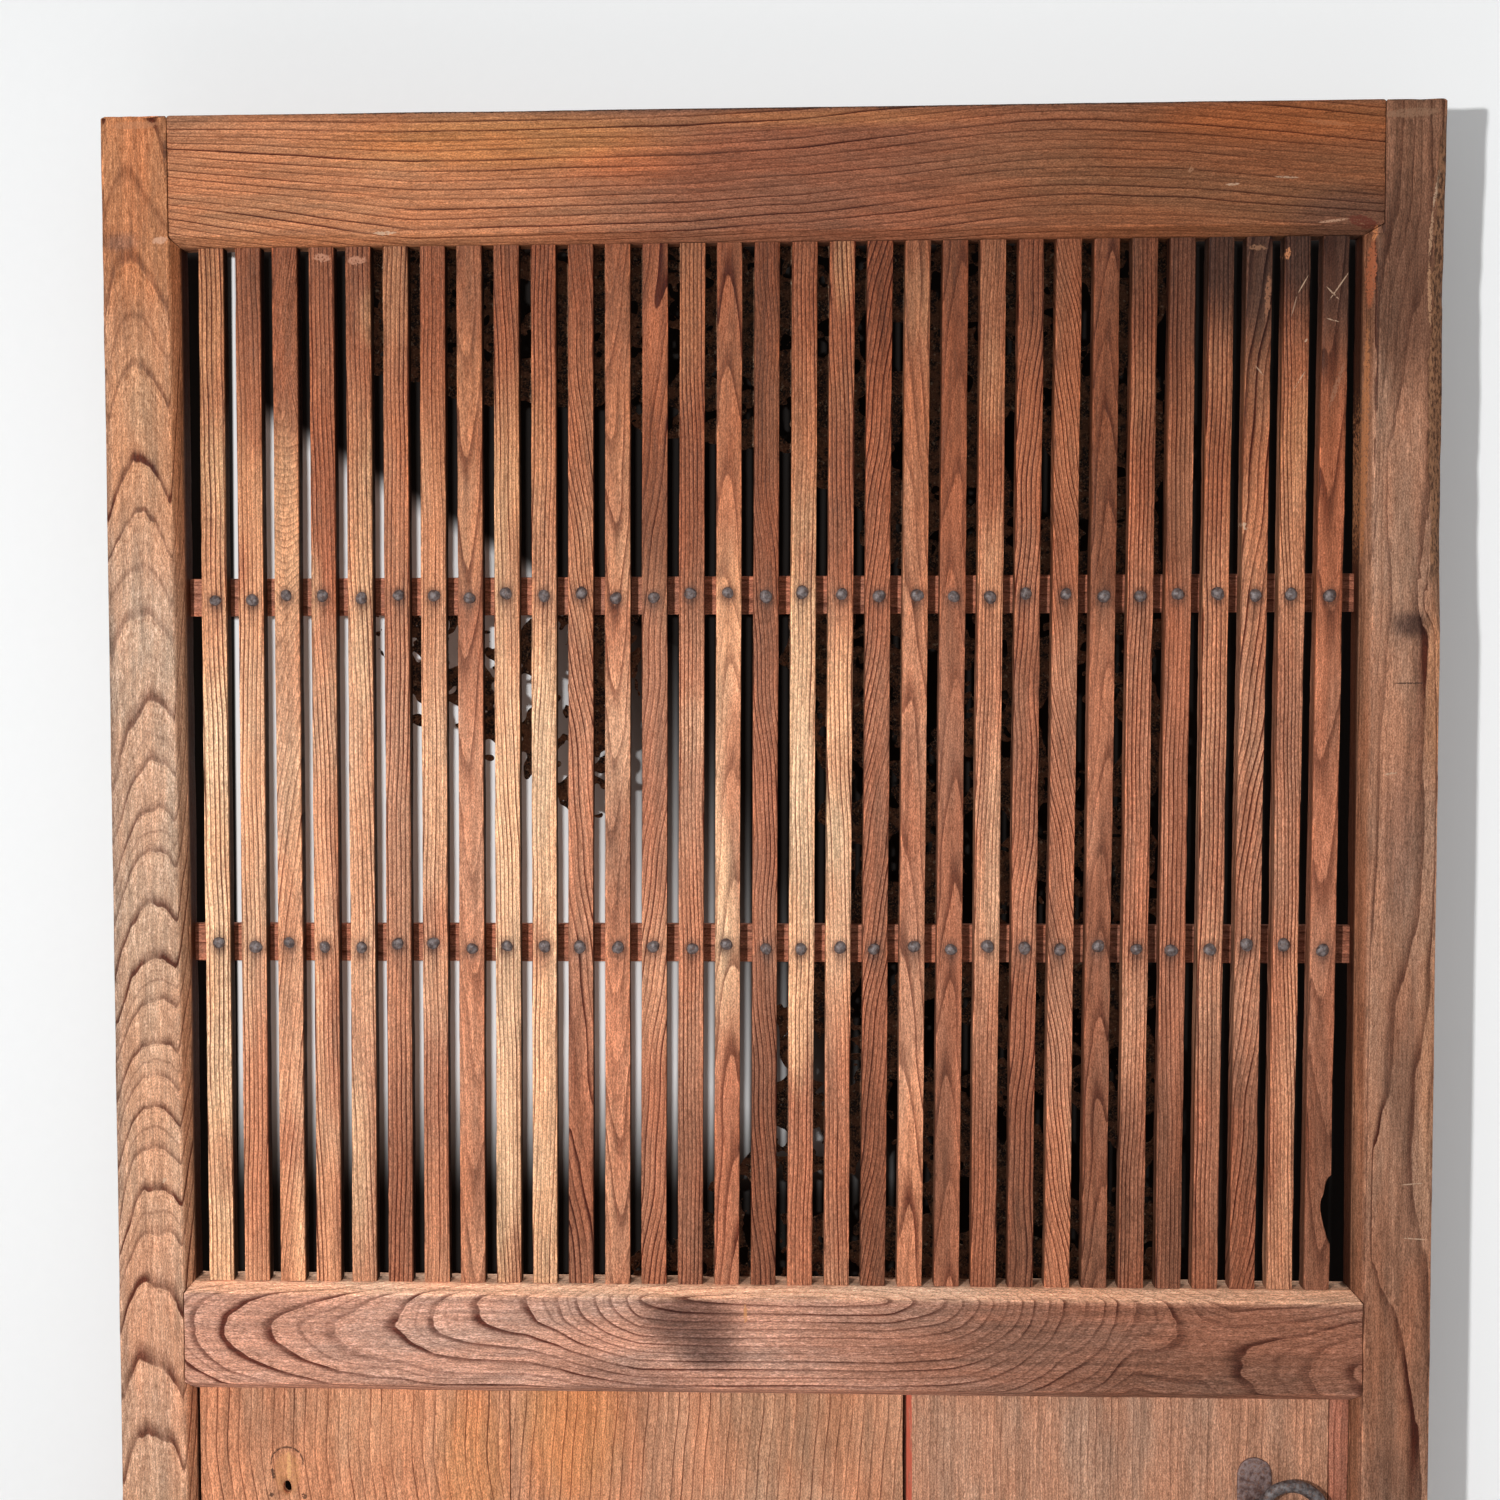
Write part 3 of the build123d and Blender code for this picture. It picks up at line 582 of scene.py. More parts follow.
def stile_section(z, side, mitres, reach):
    """A stile's outline at a height, seen from above, with its bevel or a rail's shoulder."""
    edge, inner = BEVEL_EDGE, OPENING
    outer = 0.53
    worn_face, worn_edge = 0.0014, 0.0014
    if side > 0:
        share = (z - WORN_LOW) / (WORN_HIGH - WORN_LOW)
        if 0 < share < 1:
            bow = 4 * share * (1 - share)
            ragged = 0.70 + 0.30 * wave((0, 0, z), 0.022, 5) + 0.25 * wave((0, 0, z), 0.007, 6)
            worn_face += 0.0135 * bow ** 0.45 * max(0.15, ragged)
            worn_edge += 0.0075 * bow ** 0.6 * max(0.10, 0.6 + 0.5 * wave((0, 0, z), 0.03, 8))
    rail = None
    for low_face, low_inner, high_inner, high_face in mitres:
        if low_inner <= z <= high_inner:
            rail = (low_face, low_inner, high_inner, high_face)
    if rail is None:
        a = (edge, FRONT)
        b = (inner, BEVEL_BACK)
        c = (inner, BEVEL_BACK + 0.004)
        d = (inner, BEVEL_BACK + 0.008)
        radii = [0.0009, 0.0009, 0.0008, 0.0006, 0.0, 0.0, 0.0008]
    else:
        low_face, low_inner, high_inner, high_face = rail
        shoulder = edge + (reach if high_face >= TOP else 0.0)
        width = shoulder - inner
        if z > high_face:
            m = shoulder - width * (z - high_face) / (high_inner - high_face)
        elif z < low_face:
            m = shoulder - width * (low_face - z) / (low_face - low_inner)
        else:
            m = shoulder
        a = (shoulder, FRONT)
        if m < shoulder - 1e-5:
            b = (m, FRONT + (shoulder - m) / width * BEVEL_DEPTH)
        else:
            b = (shoulder, FRONT + 0.004)
        c = (m, BEVEL_BACK)
        d = (inner, BEVEL_BACK + 0.0001)
        radii = [0.0009, 0.0009, 0.0006, 0.0001, 0.0, 0.0, 0.0008]
    corners = [(outer, BACK), (outer, FRONT + worn_edge), (outer - worn_face, FRONT), a, b, c, d, (inner, BACK)]
    radii = [0.0012, 0.0008, 0.0008] + radii[2:]
    points, wear = outline(corners, radii, [5, 3, 9, 3, 2, 1, 4, 6])
    return [(side * x, y, z) for x, y in points], wear


MITRES = (
    (0.0, 0.0, BOTTOM_RAIL_FACE + BEVEL_WIDTH, BOTTOM_RAIL_FACE),
    (MIDDLE_RAIL_LOW, MIDDLE_RAIL_LOW - BEVEL_WIDTH, MIDDLE_RAIL_HIGH + BEVEL_WIDTH, MIDDLE_RAIL_HIGH),
    (TOP_RAIL_FACE, TOP_RAIL_FACE - BEVEL_WIDTH, TOP, TOP),
)


def shrink(section, amount):
    """A section drawn in towards its middle, to round off the end of a timber."""
    section = np.array(section)
    centre = section.mean(0)
    size = np.abs(section - centre).max(0)
    factor = np.where(size > 1e-6, 1 - amount / np.maximum(size, 1e-6), 1)
    return [tuple(p) for p in centre + (section - centre) * factor]


def make_stile(name, side, reach):
    """A stile from end to end, with its bevels and the shoulders that the rails fit against."""
    breaks = []
    for low_face, low_inner, high_inner, high_face in MITRES:
        for place in (low_inner, low_face, high_face, high_inner):
            breaks += [place - 0.0004, place + 0.0004]
        breaks += [(low_inner + low_face) / 2, (high_inner + high_face) / 2]
    sections, wears = [], []
    for z in stations(0.0, TOP, 0.006, also=breaks):
        section, wear = stile_section(z, side, MITRES, reach)
        from_end = min(z, TOP - z)
        if from_end < 0.002:
            section = shrink(section, 0.0016 * (1 - from_end / 0.002) ** 2)
            wear = [max(w, 0.9) for w in wear]
        sections.append(section)
        wears.append(wear)
    return loft(name, sections, wears)


def rail_section(x, low_face, low_inner, high_inner, high_face, shoulder):
    """A rail's outline at a place along it: the whole depth, or its front layer over a stile."""
    over = (abs(x) - OPENING) / (shoulder - OPENING)
    over = min(max(over, 0.0), 1.0)
    low = low_inner + (low_face - low_inner) * over
    high = high_inner + (high_face - high_inner) * over
    low_depth = BEVEL_BACK if low_inner == low_face else FRONT + (low_face - low) / BEVEL_WIDTH * BEVEL_DEPTH
    high_depth = BEVEL_BACK if high_inner == high_face else FRONT + (high - high_face) / BEVEL_WIDTH * BEVEL_DEPTH
    low_front = low_face
    high_front = high_face
    rear = BACK if over == 0 else BEVEL_BACK + 0.0002
    corners = [
        (rear, low), (min(low_depth, rear - 0.0001), low), (FRONT, low_front),
        (FRONT, high_front), (min(high_depth, rear - 0.0001), high), (rear, high),
    ]
    points, wear = outline(corners, [0.0007, 0.0006, 0.0008, 0.0008, 0.0006, 0.0007], [3, 6, 14, 6, 3, 8])
    return [(x, y, z) for y, z in points], wear


def make_rail(name, low_face, low_inner, high_inner, high_face, right_reach=0.0):
    """A rail from shoulder to shoulder, with its mitred bevels."""
    gap = 0.00025
    left, right = BEVEL_EDGE - gap, BEVEL_EDGE + right_reach - gap
    places = [-left, -left + 0.0006]
    places += list(np.linspace(-left + 0.002, -OPENING - 0.0002, 4))
    places += list(np.linspace(-OPENING, OPENING, 157))
    places += list(np.linspace(OPENING + 0.0002, right - 0.002, 4))
    places += [right - 0.0006, right]
    sections, wears = [], []
    for x in places:
        shoulder = BEVEL_EDGE if x < 0 else BEVEL_EDGE + right_reach
        section, wear = rail_section(x, low_face, low_inner, high_inner, high_face, shoulder)
        end = left - abs(x) if x < 0 else right - x
        if end < 0.002:
            section = shrink(section, 0.0008 * (1 - end / 0.002) ** 2)
            wear = [max(w, 0.7) for w in wear]
        sections.append([(x, y, z) for _, y, z in section])
        wears.append(wear)
    return loft(name, sections, wears)


# Each list below places what the photograph shows of a timber's figure, in metres


def drop(x, left, right, round_off):
    """How far an arch has fallen at a distance beside its top."""
    slope = np.where(x < 0, left, right)
    return np.sqrt((slope * x) ** 2 + round_off ** 2) - round_off


def bevel_tone_and_painted_shade(co):
    """The bevels of the stiles are redder and darker than their faces, partly their own colour and partly painted
    shade; their inner sides behind the bevels are darkened further as painted shade.
    """
    inner = smooth(FRONT + 0.0012, FRONT + 0.004, co[:, 1]) * (np.abs(co[:, 0]) < BEVEL_EDGE + 0.0004)
    deep = smooth(BEVEL_BACK + 0.001, BEVEL_BACK + 0.006, co[:, 1]) * (np.abs(co[:, 0]) < OPENING + 0.002)
    share = np.stack([0.22 * inner, 0.34 * inner, 0.42 * inner], 1)
    return (1 - share) * (1 - np.outer(deep, (0.80, 0.86, 0.88)))


left_stile = make_stile("left_stile_wood", -1, 0.0)
weather(left_stile.data, 11, arris=0.0007, sway=0.00025)
# The tops of the arches that the rings draw on the left stile: height, place across
ARCHES = (
    (-0.10, -0.500), (0.02, -0.500), (0.13, -0.503), (0.21, -0.500), (0.30, -0.498), (0.37, -0.500),
    (0.45, -0.504), (0.52, -0.500), (0.61, -0.503), (0.686, -0.506), (0.749, -0.506), (0.816, -0.502),
    (0.862, -0.498), (0.896, -0.500), (0.929, -0.501), (0.962, -0.500), (0.989, -0.499), (1.016, -0.497),
    (1.052, -0.495), (1.085, -0.497), (1.126, -0.497), (1.168, -0.497), (1.200, -0.495), (1.237, -0.494),
    (1.281, -0.496), (1.361, -0.507), (1.448, -0.502), (1.484, -0.502), (1.559, -0.501), (1.64, -0.504),
    (1.78, -0.510), (1.92, -0.510),
)
co = positions(left_stile.data)
heights, middles = (np.array(column) for column in zip(*ARCHES))
aside = co[:, 0] - np.interp(co[:, 2], heights, middles)
steep_left = np.interp(co[:, 2], (0.80, 0.93, 1.00, 1.25, 1.30, 1.42), (1.5, 1.2, 0.9, 0.85, 1.2, 1.5))
steep_right = np.interp(co[:, 2], (0.80, 0.93, 1.00, 1.25, 1.30, 1.42), (0.8, 0.6, 0.6, 0.65, 0.8, 1.3))
fallen = drop(aside, steep_left, steep_right, 0.010) + np.where(aside < 0, 1400, 1000) * np.abs(aside) ** 3
number = len(ARCHES) - np.interp(co[:, 2] + fallen, heights, np.arange(len(ARCHES)))
number += 190 * np.maximum(co[:, 1] - FRONT, 0)
band = np.interp(co[:, 2], (0.7, 1.2, 1.35, 1.5), (0.61, 0.64, 0.72, 0.80))
write_rings(left_stile, "z", 0 * number, 0 * number, number, 1.0, 9.0, 21, late=band)
tint(left_stile, (0.55, 0.315, 0.195), 0.95, [
    (-0.50, 1.70, 0.08, 0.20, (0.43, 0.165, 0.068), 0.95),
    (-0.50, 1.50, 0.08, 0.15, (0.46, 0.225, 0.115), 0.85),
    (-0.505, 1.28, 0.06, 0.22, (0.52, 0.335, 0.225), 0.85),
    (-0.50, 0.76, 0.06, 0.14, (0.57, 0.29, 0.175), 0.7),
    (-0.533, 1.10, 0.014, 0.7, GREY, 0.75),
    (-0.515, 1.66, 0.020, 0.010, (0.16, 0.085, 0.062), 0.6),
], bevel_tone_and_painted_shade)
dress(left_stile, FRAME_WOOD, "frame", "left_stile")

right_stile = make_stile("right_stile_wood", 1, RIGHT_REACH)
weather(right_stile.data, 12, arris=0.0009, sway=0.0003)
# Ring lines of the right stile from left to right: (height, place across), from the foot up
RIGHT_LINES = (
    ((0.0, 0.440), (1.76, 0.442)),
    ((0.0, 0.456), (1.76, 0.458)),
    ((0.0, 0.468), (1.37, 0.472), (1.465, 0.4765), (1.536, 0.479), (1.607, 0.481), (1.634, 0.487), (1.684, 0.495), (1.76, 0.4996)),
    ((0.0, 0.472), (1.37, 0.476), (1.542, 0.4825), (1.60, 0.4865), (1.626, 0.4915), (1.648, 0.4985), (1.678, 0.5037), (1.76, 0.505)),
    (
        (0.0, 0.474), (1.085, 0.479), (1.262, 0.4815), (1.304, 0.4843), (1.341, 0.4899), (1.366, 0.4913), (1.40, 0.4897),
        (1.453, 0.4867), (1.494, 0.4879), (1.542, 0.5005), (1.582, 0.5066), (1.607, 0.5152), (1.643, 0.5203), (1.76, 0.5187),
    ),
    (
        (0.0, 0.529), (0.60, 0.5285), (0.65, 0.527), (0.682, 0.5255), (0.721, 0.5205), (0.754, 0.512), (0.799, 0.501), (0.830, 0.488),
        (0.848, 0.4815), (0.890, 0.4815), (0.933, 0.4835), (0.957, 0.4885), (0.979, 0.4943), (1.054, 0.4997),
        (1.12, 0.519), (1.18, 0.522), (1.342, 0.5225), (1.366, 0.5145), (1.406, 0.5165), (1.442, 0.5215), (1.519, 0.524), (1.76, 0.5275),
    ),
    (
        (0.0, 0.531), (0.812, 0.5304), (0.852, 0.5266), (0.882, 0.5188), (0.919, 0.5161), (0.990, 0.5141), (1.054, 0.5255),
        (1.168, 0.530), (1.266, 0.5293), (1.309, 0.526), (1.343, 0.5242), (1.351, 0.5227), (1.366, 0.5163), (1.406, 0.5184),
        (1.442, 0.5232), (1.519, 0.5248), (1.542, 0.5302), (1.76, 0.5330),
    ),
    ((0.0, 0.546), (1.76, 0.546)),
)
co = positions(right_stile.data)
lines = np.array([np.interp(co[:, 2], *zip(*line)) for line in RIGHT_LINES])
number = np.array([np.interp(x, column, np.arange(len(lines))) for x, column in zip(co[:, 0], lines.T)])
number += 170 * np.maximum(co[:, 1] - FRONT, 0)
write_rings(right_stile, "z", 0 * number, 0 * number, number, 1.0, 0.0, 22, late=0.58)
tint(right_stile, (0.39, 0.200, 0.122), 0.90, [
    (0.50, 1.75, 0.08, 0.16, (0.20, 0.100, 0.060), 0.9),
    (0.50, 1.61, 0.045, 0.11, (0.130, 0.064, 0.040), 0.9),
    (0.531, 1.55, 0.013, 0.22, (0.20, 0.080, 0.034), 0.95),
    (0.507, 1.351, 0.022, 0.016, (0.090, 0.045, 0.032), 0.95),
    (0.500, 1.18, 0.02, 0.09, (0.22, 0.12, 0.085), 0.55),
    (0.505, 0.99, 0.018, 0.10, (0.19, 0.085, 0.050), 0.7),
    (0.50, 0.78, 0.07, 0.16, (0.27, 0.120, 0.068), 0.85),
    (0.495, 0.66, 0.025, 0.05, (0.14, 0.065, 0.040), 0.7),
    (0.524, 1.00, 0.010, 0.16, (0.45, 0.22, 0.12), 0.6),
    (0.526, 1.30, 0.012, 0.10, (0.42, 0.20, 0.10), 0.7),
], bevel_tone_and_painted_shade)
dress(right_stile, FRAME_WOOD, "frame", "right_stile")

top_rail = make_rail("top_rail_wood", TOP_RAIL_FACE, TOP_RAIL_FACE - BEVEL_WIDTH, TOP, TOP, RIGHT_REACH)
weather(top_rail.data, 13, arris=0.0005, sway=0.0003, along=0)
co = positions(top_rail.data)
# The rings run nearly along the top rail: their spacing, and how far they rise over a hump at the right
spacing = np.interp(co[:, 0], (-0.48, -0.41, -0.28, 0.0, 0.23, 0.48), (0.0054, 0.0062, 0.0078, 0.0073, 0.0073, 0.0066))
hump = np.interp(
    co[:, 0], (-0.48, -0.06, 0.03, 0.11, 0.165, 0.20, 0.227, 0.26, 0.33, 0.42, 0.48),
    (0, 0, 0.0045, 0.012, 0.0185, 0.0215, 0.0225, 0.0215, 0.016, 0.006, -0.0015),
)
number = (TOP - co[:, 2] + hump + 0.55 * np.maximum(co[:, 1] - FRONT, 0)) / spacing
write_rings(top_rail, "x", 0 * number, 0 * number, number, 1.0, 0.0, 23, late=0.64)
tint(top_rail, (0.32, 0.125, 0.065), np.interp(co[:, 0], (-0.48, 0.0, 0.2, 0.48), (1.1, 1.1, 0.9, 0.8)), [
    (-0.34, 1.70, 0.28, 0.12, (0.47, 0.195, 0.090), 0.95),
    (-0.20, 1.735, 0.20, 0.030, (0.50, 0.19, 0.062), 0.8),
    (-0.11, 1.715, 0.07, 0.018, (0.50, 0.155, 0.058), 0.6),
    (0.04, 1.71, 0.20, 0.09, (0.24, 0.085, 0.045), 0.80),
    (0.05, 1.752, 0.16, 0.010, (0.44, 0.17, 0.06), 0.5),
    (0.40, 1.70, 0.34, 0.12, (0.225, 0.086, 0.038), 0.95),
    (0.40, 1.745, 0.14, 0.022, (0.32, 0.100, 0.032), 0.7),
    (0.46, 1.67, 0.07, 0.03, (0.13, 0.055, 0.034), 0.7),
    (0.0, 1.762, 0.9, 0.006, (0.07, 0.04, 0.03), 0.8),
])
dress(top_rail, FRAME_WOOD, "frame", "top_rail")

middle_rail = make_rail(
    "middle_rail_wood", MIDDLE_RAIL_LOW, MIDDLE_RAIL_LOW - BEVEL_WIDTH,
    MIDDLE_RAIL_HIGH + BEVEL_WIDTH, MIDDLE_RAIL_HIGH,
)
weather(middle_rail.data, 14, arris=0.0006, sway=0.0003, along=0)
# Where the rings of the middle rail turn back along it, and the line through those turns
TURNS = (
    (-0.530, 17), (-0.496, 16), (-0.468, 15), (-0.441, 14), (-0.400, 13), (-0.347, 12), (-0.298, 11), (-0.271, 10), (-0.235, 9),
    (-0.195, 8), (-0.170, 7), (-0.155, 6), (-0.139, 5), (-0.127, 4), (-0.113, 3), (-0.104, 2), (-0.070, 1), (0.033, 0),
    (0.098, 1), (0.116, 2), (0.143, 3), (0.157, 4), (0.170, 5), (0.181, 6), (0.193, 7), (0.205, 8), (0.214, 9), (0.227, 10),
    (0.237, 11), (0.256, 12), (0.271, 13), (0.280, 14), (0.296, 15), (0.331, 16), (0.351, 16.5), (0.375, 16), (0.433, 15),
    (0.469, 14), (0.530, 13),
)
AXIS = (
    (-0.53, 0.789), (-0.468, 0.785), (-0.441, 0.783), (-0.400, 0.782), (-0.347, 0.780), (-0.298, 0.787), (-0.270, 0.791),
    (-0.234, 0.798), (-0.195, 0.805), (-0.135, 0.808), (0.033, 0.810), (0.188, 0.808), (0.295, 0.805), (0.331, 0.783),
    (0.375, 0.756), (0.433, 0.751), (0.53, 0.750),
)
co = positions(middle_rail.data)
above = co[:, 2] - np.interp(co[:, 0], *zip(*AXIS))
u = above / np.where(above > 0, 0.0054, 0.0066)
v = np.interp(co[:, 0], *zip(*TURNS))
write_rings(middle_rail, "x", u, v, -115 * np.maximum(co[:, 1] - FRONT, 0), -1.0, 5.0, 24, late=0.60)
# The ring bands are faded on the upper bevel, and the last two stains below paint it pale: painted light on the bevel
# that faces up.
bands = np.interp(co[:, 0], (-0.1, 0.15, 0.30), (1.1, 0.85, 0.75)) * (1 - 0.6 * smooth(0.8085, 0.811, co[:, 2]))
tint(middle_rail, (0.53, 0.285, 0.200), bands, [
    (-0.062, 0.790, 0.055, 0.035, (0.13, 0.064, 0.048), 0.85),
    (-0.045, 0.762, 0.035, 0.022, (0.13, 0.064, 0.048), 0.75),
    (-0.115, 0.740, 0.07, 0.020, (0.20, 0.105, 0.078), 0.5),
    (0.32, 0.775, 0.36, 0.10, (0.265, 0.115, 0.070), 0.95),
    (0.36, 0.745, 0.16, 0.03, (0.16, 0.080, 0.052), 0.6),
    # Painted light: these two stains make the upward-facing bevel pale.
    (0.0, 0.8150, 1.50, 0.0095, (1.0, 0.60, 0.39), 1.0),
    (0.42, 0.8150, 0.40, 0.0090, (0.84, 0.48, 0.30), 0.9),
])
dress(middle_rail, FRAME_WOOD, "frame", "middle_rail")

bottom_rail = make_rail("bottom_rail_wood", 0.0, 0.0, BOTTOM_RAIL_FACE + BEVEL_WIDTH, BOTTOM_RAIL_FACE)
weather(bottom_rail.data, 15, arris=0.0007, sway=0.0003, along=0)
cut_from_log(bottom_rail, 25, along="x", across=0.04, depth=0.04, taper=0.06, spacing=0.006, middle=0.1, rows=3.0)
tint(bottom_rail, wood(0.48), 0.85, [(0.0, 0.0, 0.7, 0.05, (0.20, 0.12, 0.085), 0.6)])
dress(bottom_rail, WOOD, "frame", "bottom_rail")


# Slats

PALE_SLATS = {1, 9, 10, 17}
LIGHT_SLATS = {2, 3, 4, 5, 7, 15, 18}
DIM_SLATS = {16, 19, 21, 23, 25, 26, 27}
TONES = {1: 1.05, 3: 0.94, 7: 0.95, 13: 1.1, 21: 0.82, 26: 1.12, 30: 1.15, 31: 0.80}
DARK_FEET = {6, 11, 13, 14, 16, 17, 19, 22, 23, 25, 26, 27, 28, 29, 31}
STRAIGHT_SLATS = {1, 2, 4, 5, 6, 7, 9, 10, 14, 17, 18, 22, 26, 27, 28, 30}
LOOPED_SLATS = {8, 12, 15, 20, 21, 25, 31}
# Darker and paler lengths of single slats: number, height, half length, lightness
LENGTHS = (
    (3, 1.50, 0.20, 0.44), (4, 1.45, 0.16, 0.52), (8, 1.44, 0.20, 0.42), (25, 1.30, 0.40, 0.29), (15, 1.48, 0.10, 0.60),
    (18, 1.45, 0.14, 0.46), (29, 1.20, 0.12, 0.62), (16, 1.50, 0.20, 0.33), (13, 1.50, 0.20, 0.30), (19, 1.45, 0.14, 0.48),
    (17, 0.90, 0.16, 0.45), (10, 1.45, 0.14, 0.66), (13, 1.22, 0.16, 0.54), (15, 0.90, 0.20, 0.50), (18, 0.92, 0.18, 0.54),
    (2, 0.92, 0.16, 0.66), (5, 0.92, 0.18, 0.64), (7, 0.92, 0.18, 0.64), (12, 1.22, 0.14, 0.70), (19, 1.22, 0.20, 0.38),
    (14, 1.48, 0.16, 0.40), (23, 1.48, 0.14, 0.54), (22, 1.50, 0.12, 0.54), (29, 0.88, 0.16, 0.26), (30, 1.22, 0.20, 0.56),
)


def slat_ends(node):
    """Where a slat's front face has its middle at the foot and at the head."""
    co = positions(node.data)
    face = co[co[:, 1] < BEVEL_BACK + 0.0001]
    low, high = face[:, 2].min(), face[:, 2].max()
    foot = face[face[:, 2] < low + 0.001][:, 0]
    head = face[face[:, 2] > high - 0.001][:, 0]
    return (foot.min() + foot.max()) / 2, (head.min() + head.max()) / 2, low, high


def bite(z):
    """How far the last slat's right edge is bitten away at a height."""
    share = (z - 0.8545) / 0.0555
    if not 0 < share < 1:
        return 0.0
    deep = 0.008 * math.sin(math.pi * share) ** 0.7 * (0.75 + 0.35 * share)
    return deep * (1 + 0.22 * wave((0, 0, z), 0.006, 3))


def make_slat(number, foot, head, low, high):
    """One slat, with its arrises eased and its faces dented."""
    half = 0.0103
    chance = random.Random(100 + number)
    ease = chance.uniform(0.0008, 0.0014)
    close = [h + d for h in (UPPER_STUDS, LOWER_STUDS) for d in (-0.012, -0.009, -0.003, 0.0, 0.003, 0.009)]
    if number == 31:
        close += list(np.linspace(0.852, 0.914, 32))
    sections, wears = [], []
    for z in stations(low, high, 0.0065, also=close):
        x = foot + (head - foot) * (z - low) / (high - low)
        x += 0.0004 * wave((0, 0, z), 0.16, number)
        right = x + half - (bite(z) if number == 31 else 0.0)
        corners = [(x - half, 0.0109), (x - half, BEVEL_BACK), (right, BEVEL_BACK), (right, 0.0109)]
        points, wear = outline(corners, [0.0006, ease, ease, 0.0006], [3, 6, 3, 2])
        sections.append([(px, py, z) for px, py in points])
        wears.append(wear)
    return loft(f"slat_{number:02d}_wood", sections, wears)


def slat_tone_and_painted_shade(co, middle):
    """Slats are a little darker at their feet, darker and redder towards their heads under the top rail, and dustier
    lower down; their sides are darkened as painted shade, those facing right far more than those facing left.
    """
    high = np.interp(co[:, 2], (0.82, 1.0, 1.30, 1.45, 1.57, 1.62, 1.66), (0.86, 1.0, 0.95, 0.78, 0.62, 0.52, 0.46))
    green = np.interp(co[:, 2], (0.9, 1.0, 1.25, 1.38, 1.50, 1.62), (1.0, 1.03, 1.07, 0.96, 0.90, 0.86))
    blue = np.interp(co[:, 2], (0.9, 1.0, 1.25, 1.38, 1.50, 1.62), (1.0, 1.06, 1.12, 0.92, 0.80, 0.76))
    # Painted shade on the sides of the slat, far heavier on the side facing right.
    deep = smooth(BEVEL_BACK + 0.0006, BEVEL_BACK + 0.0030, co[:, 1]) * (1 - smooth(0.0102, 0.0108, co[:, 1]))
    side = 1 - np.where(co[:, 0] > middle, 0.90, 0.42) * deep
    return np.stack([high * side, high * green * side, high * blue * side], 1)


def curl(slat, middle):
    """The figure of one slat: close arches open upwards between slanting lines."""
    co = positions(slat.data)
    shift = np.interp(co[:, 2], (1.22, 1.36, 1.41, 1.50, 1.56), (-0.012, -0.005, 0.0, 0.0, -0.012))
    slope = np.interp(co[:, 2], (1.10, 1.28, 1.37, 1.40, 1.45, 1.50, 1.58), (9.0, 6.0, 2.2, 1.1, 0.6, 0.5, 6.0))
    level = co[:, 2] - drop(co[:, 0] - middle - shift, slope, slope, 0.004)
    grid = np.linspace(0.4, 1.9, 601)
    pitch = np.interp(grid, (1.10, 1.28, 1.37, 1.40, 1.49, 1.58), (0.034, 0.024, 0.011, 0.0060, 0.0055, 0.024))
    number = np.interp(level, grid, np.cumsum(0.0025 / pitch))
    write_rings(slat, "z", 0 * number, 0 * number, number, 1.0, 0.0, 63, late=0.45)


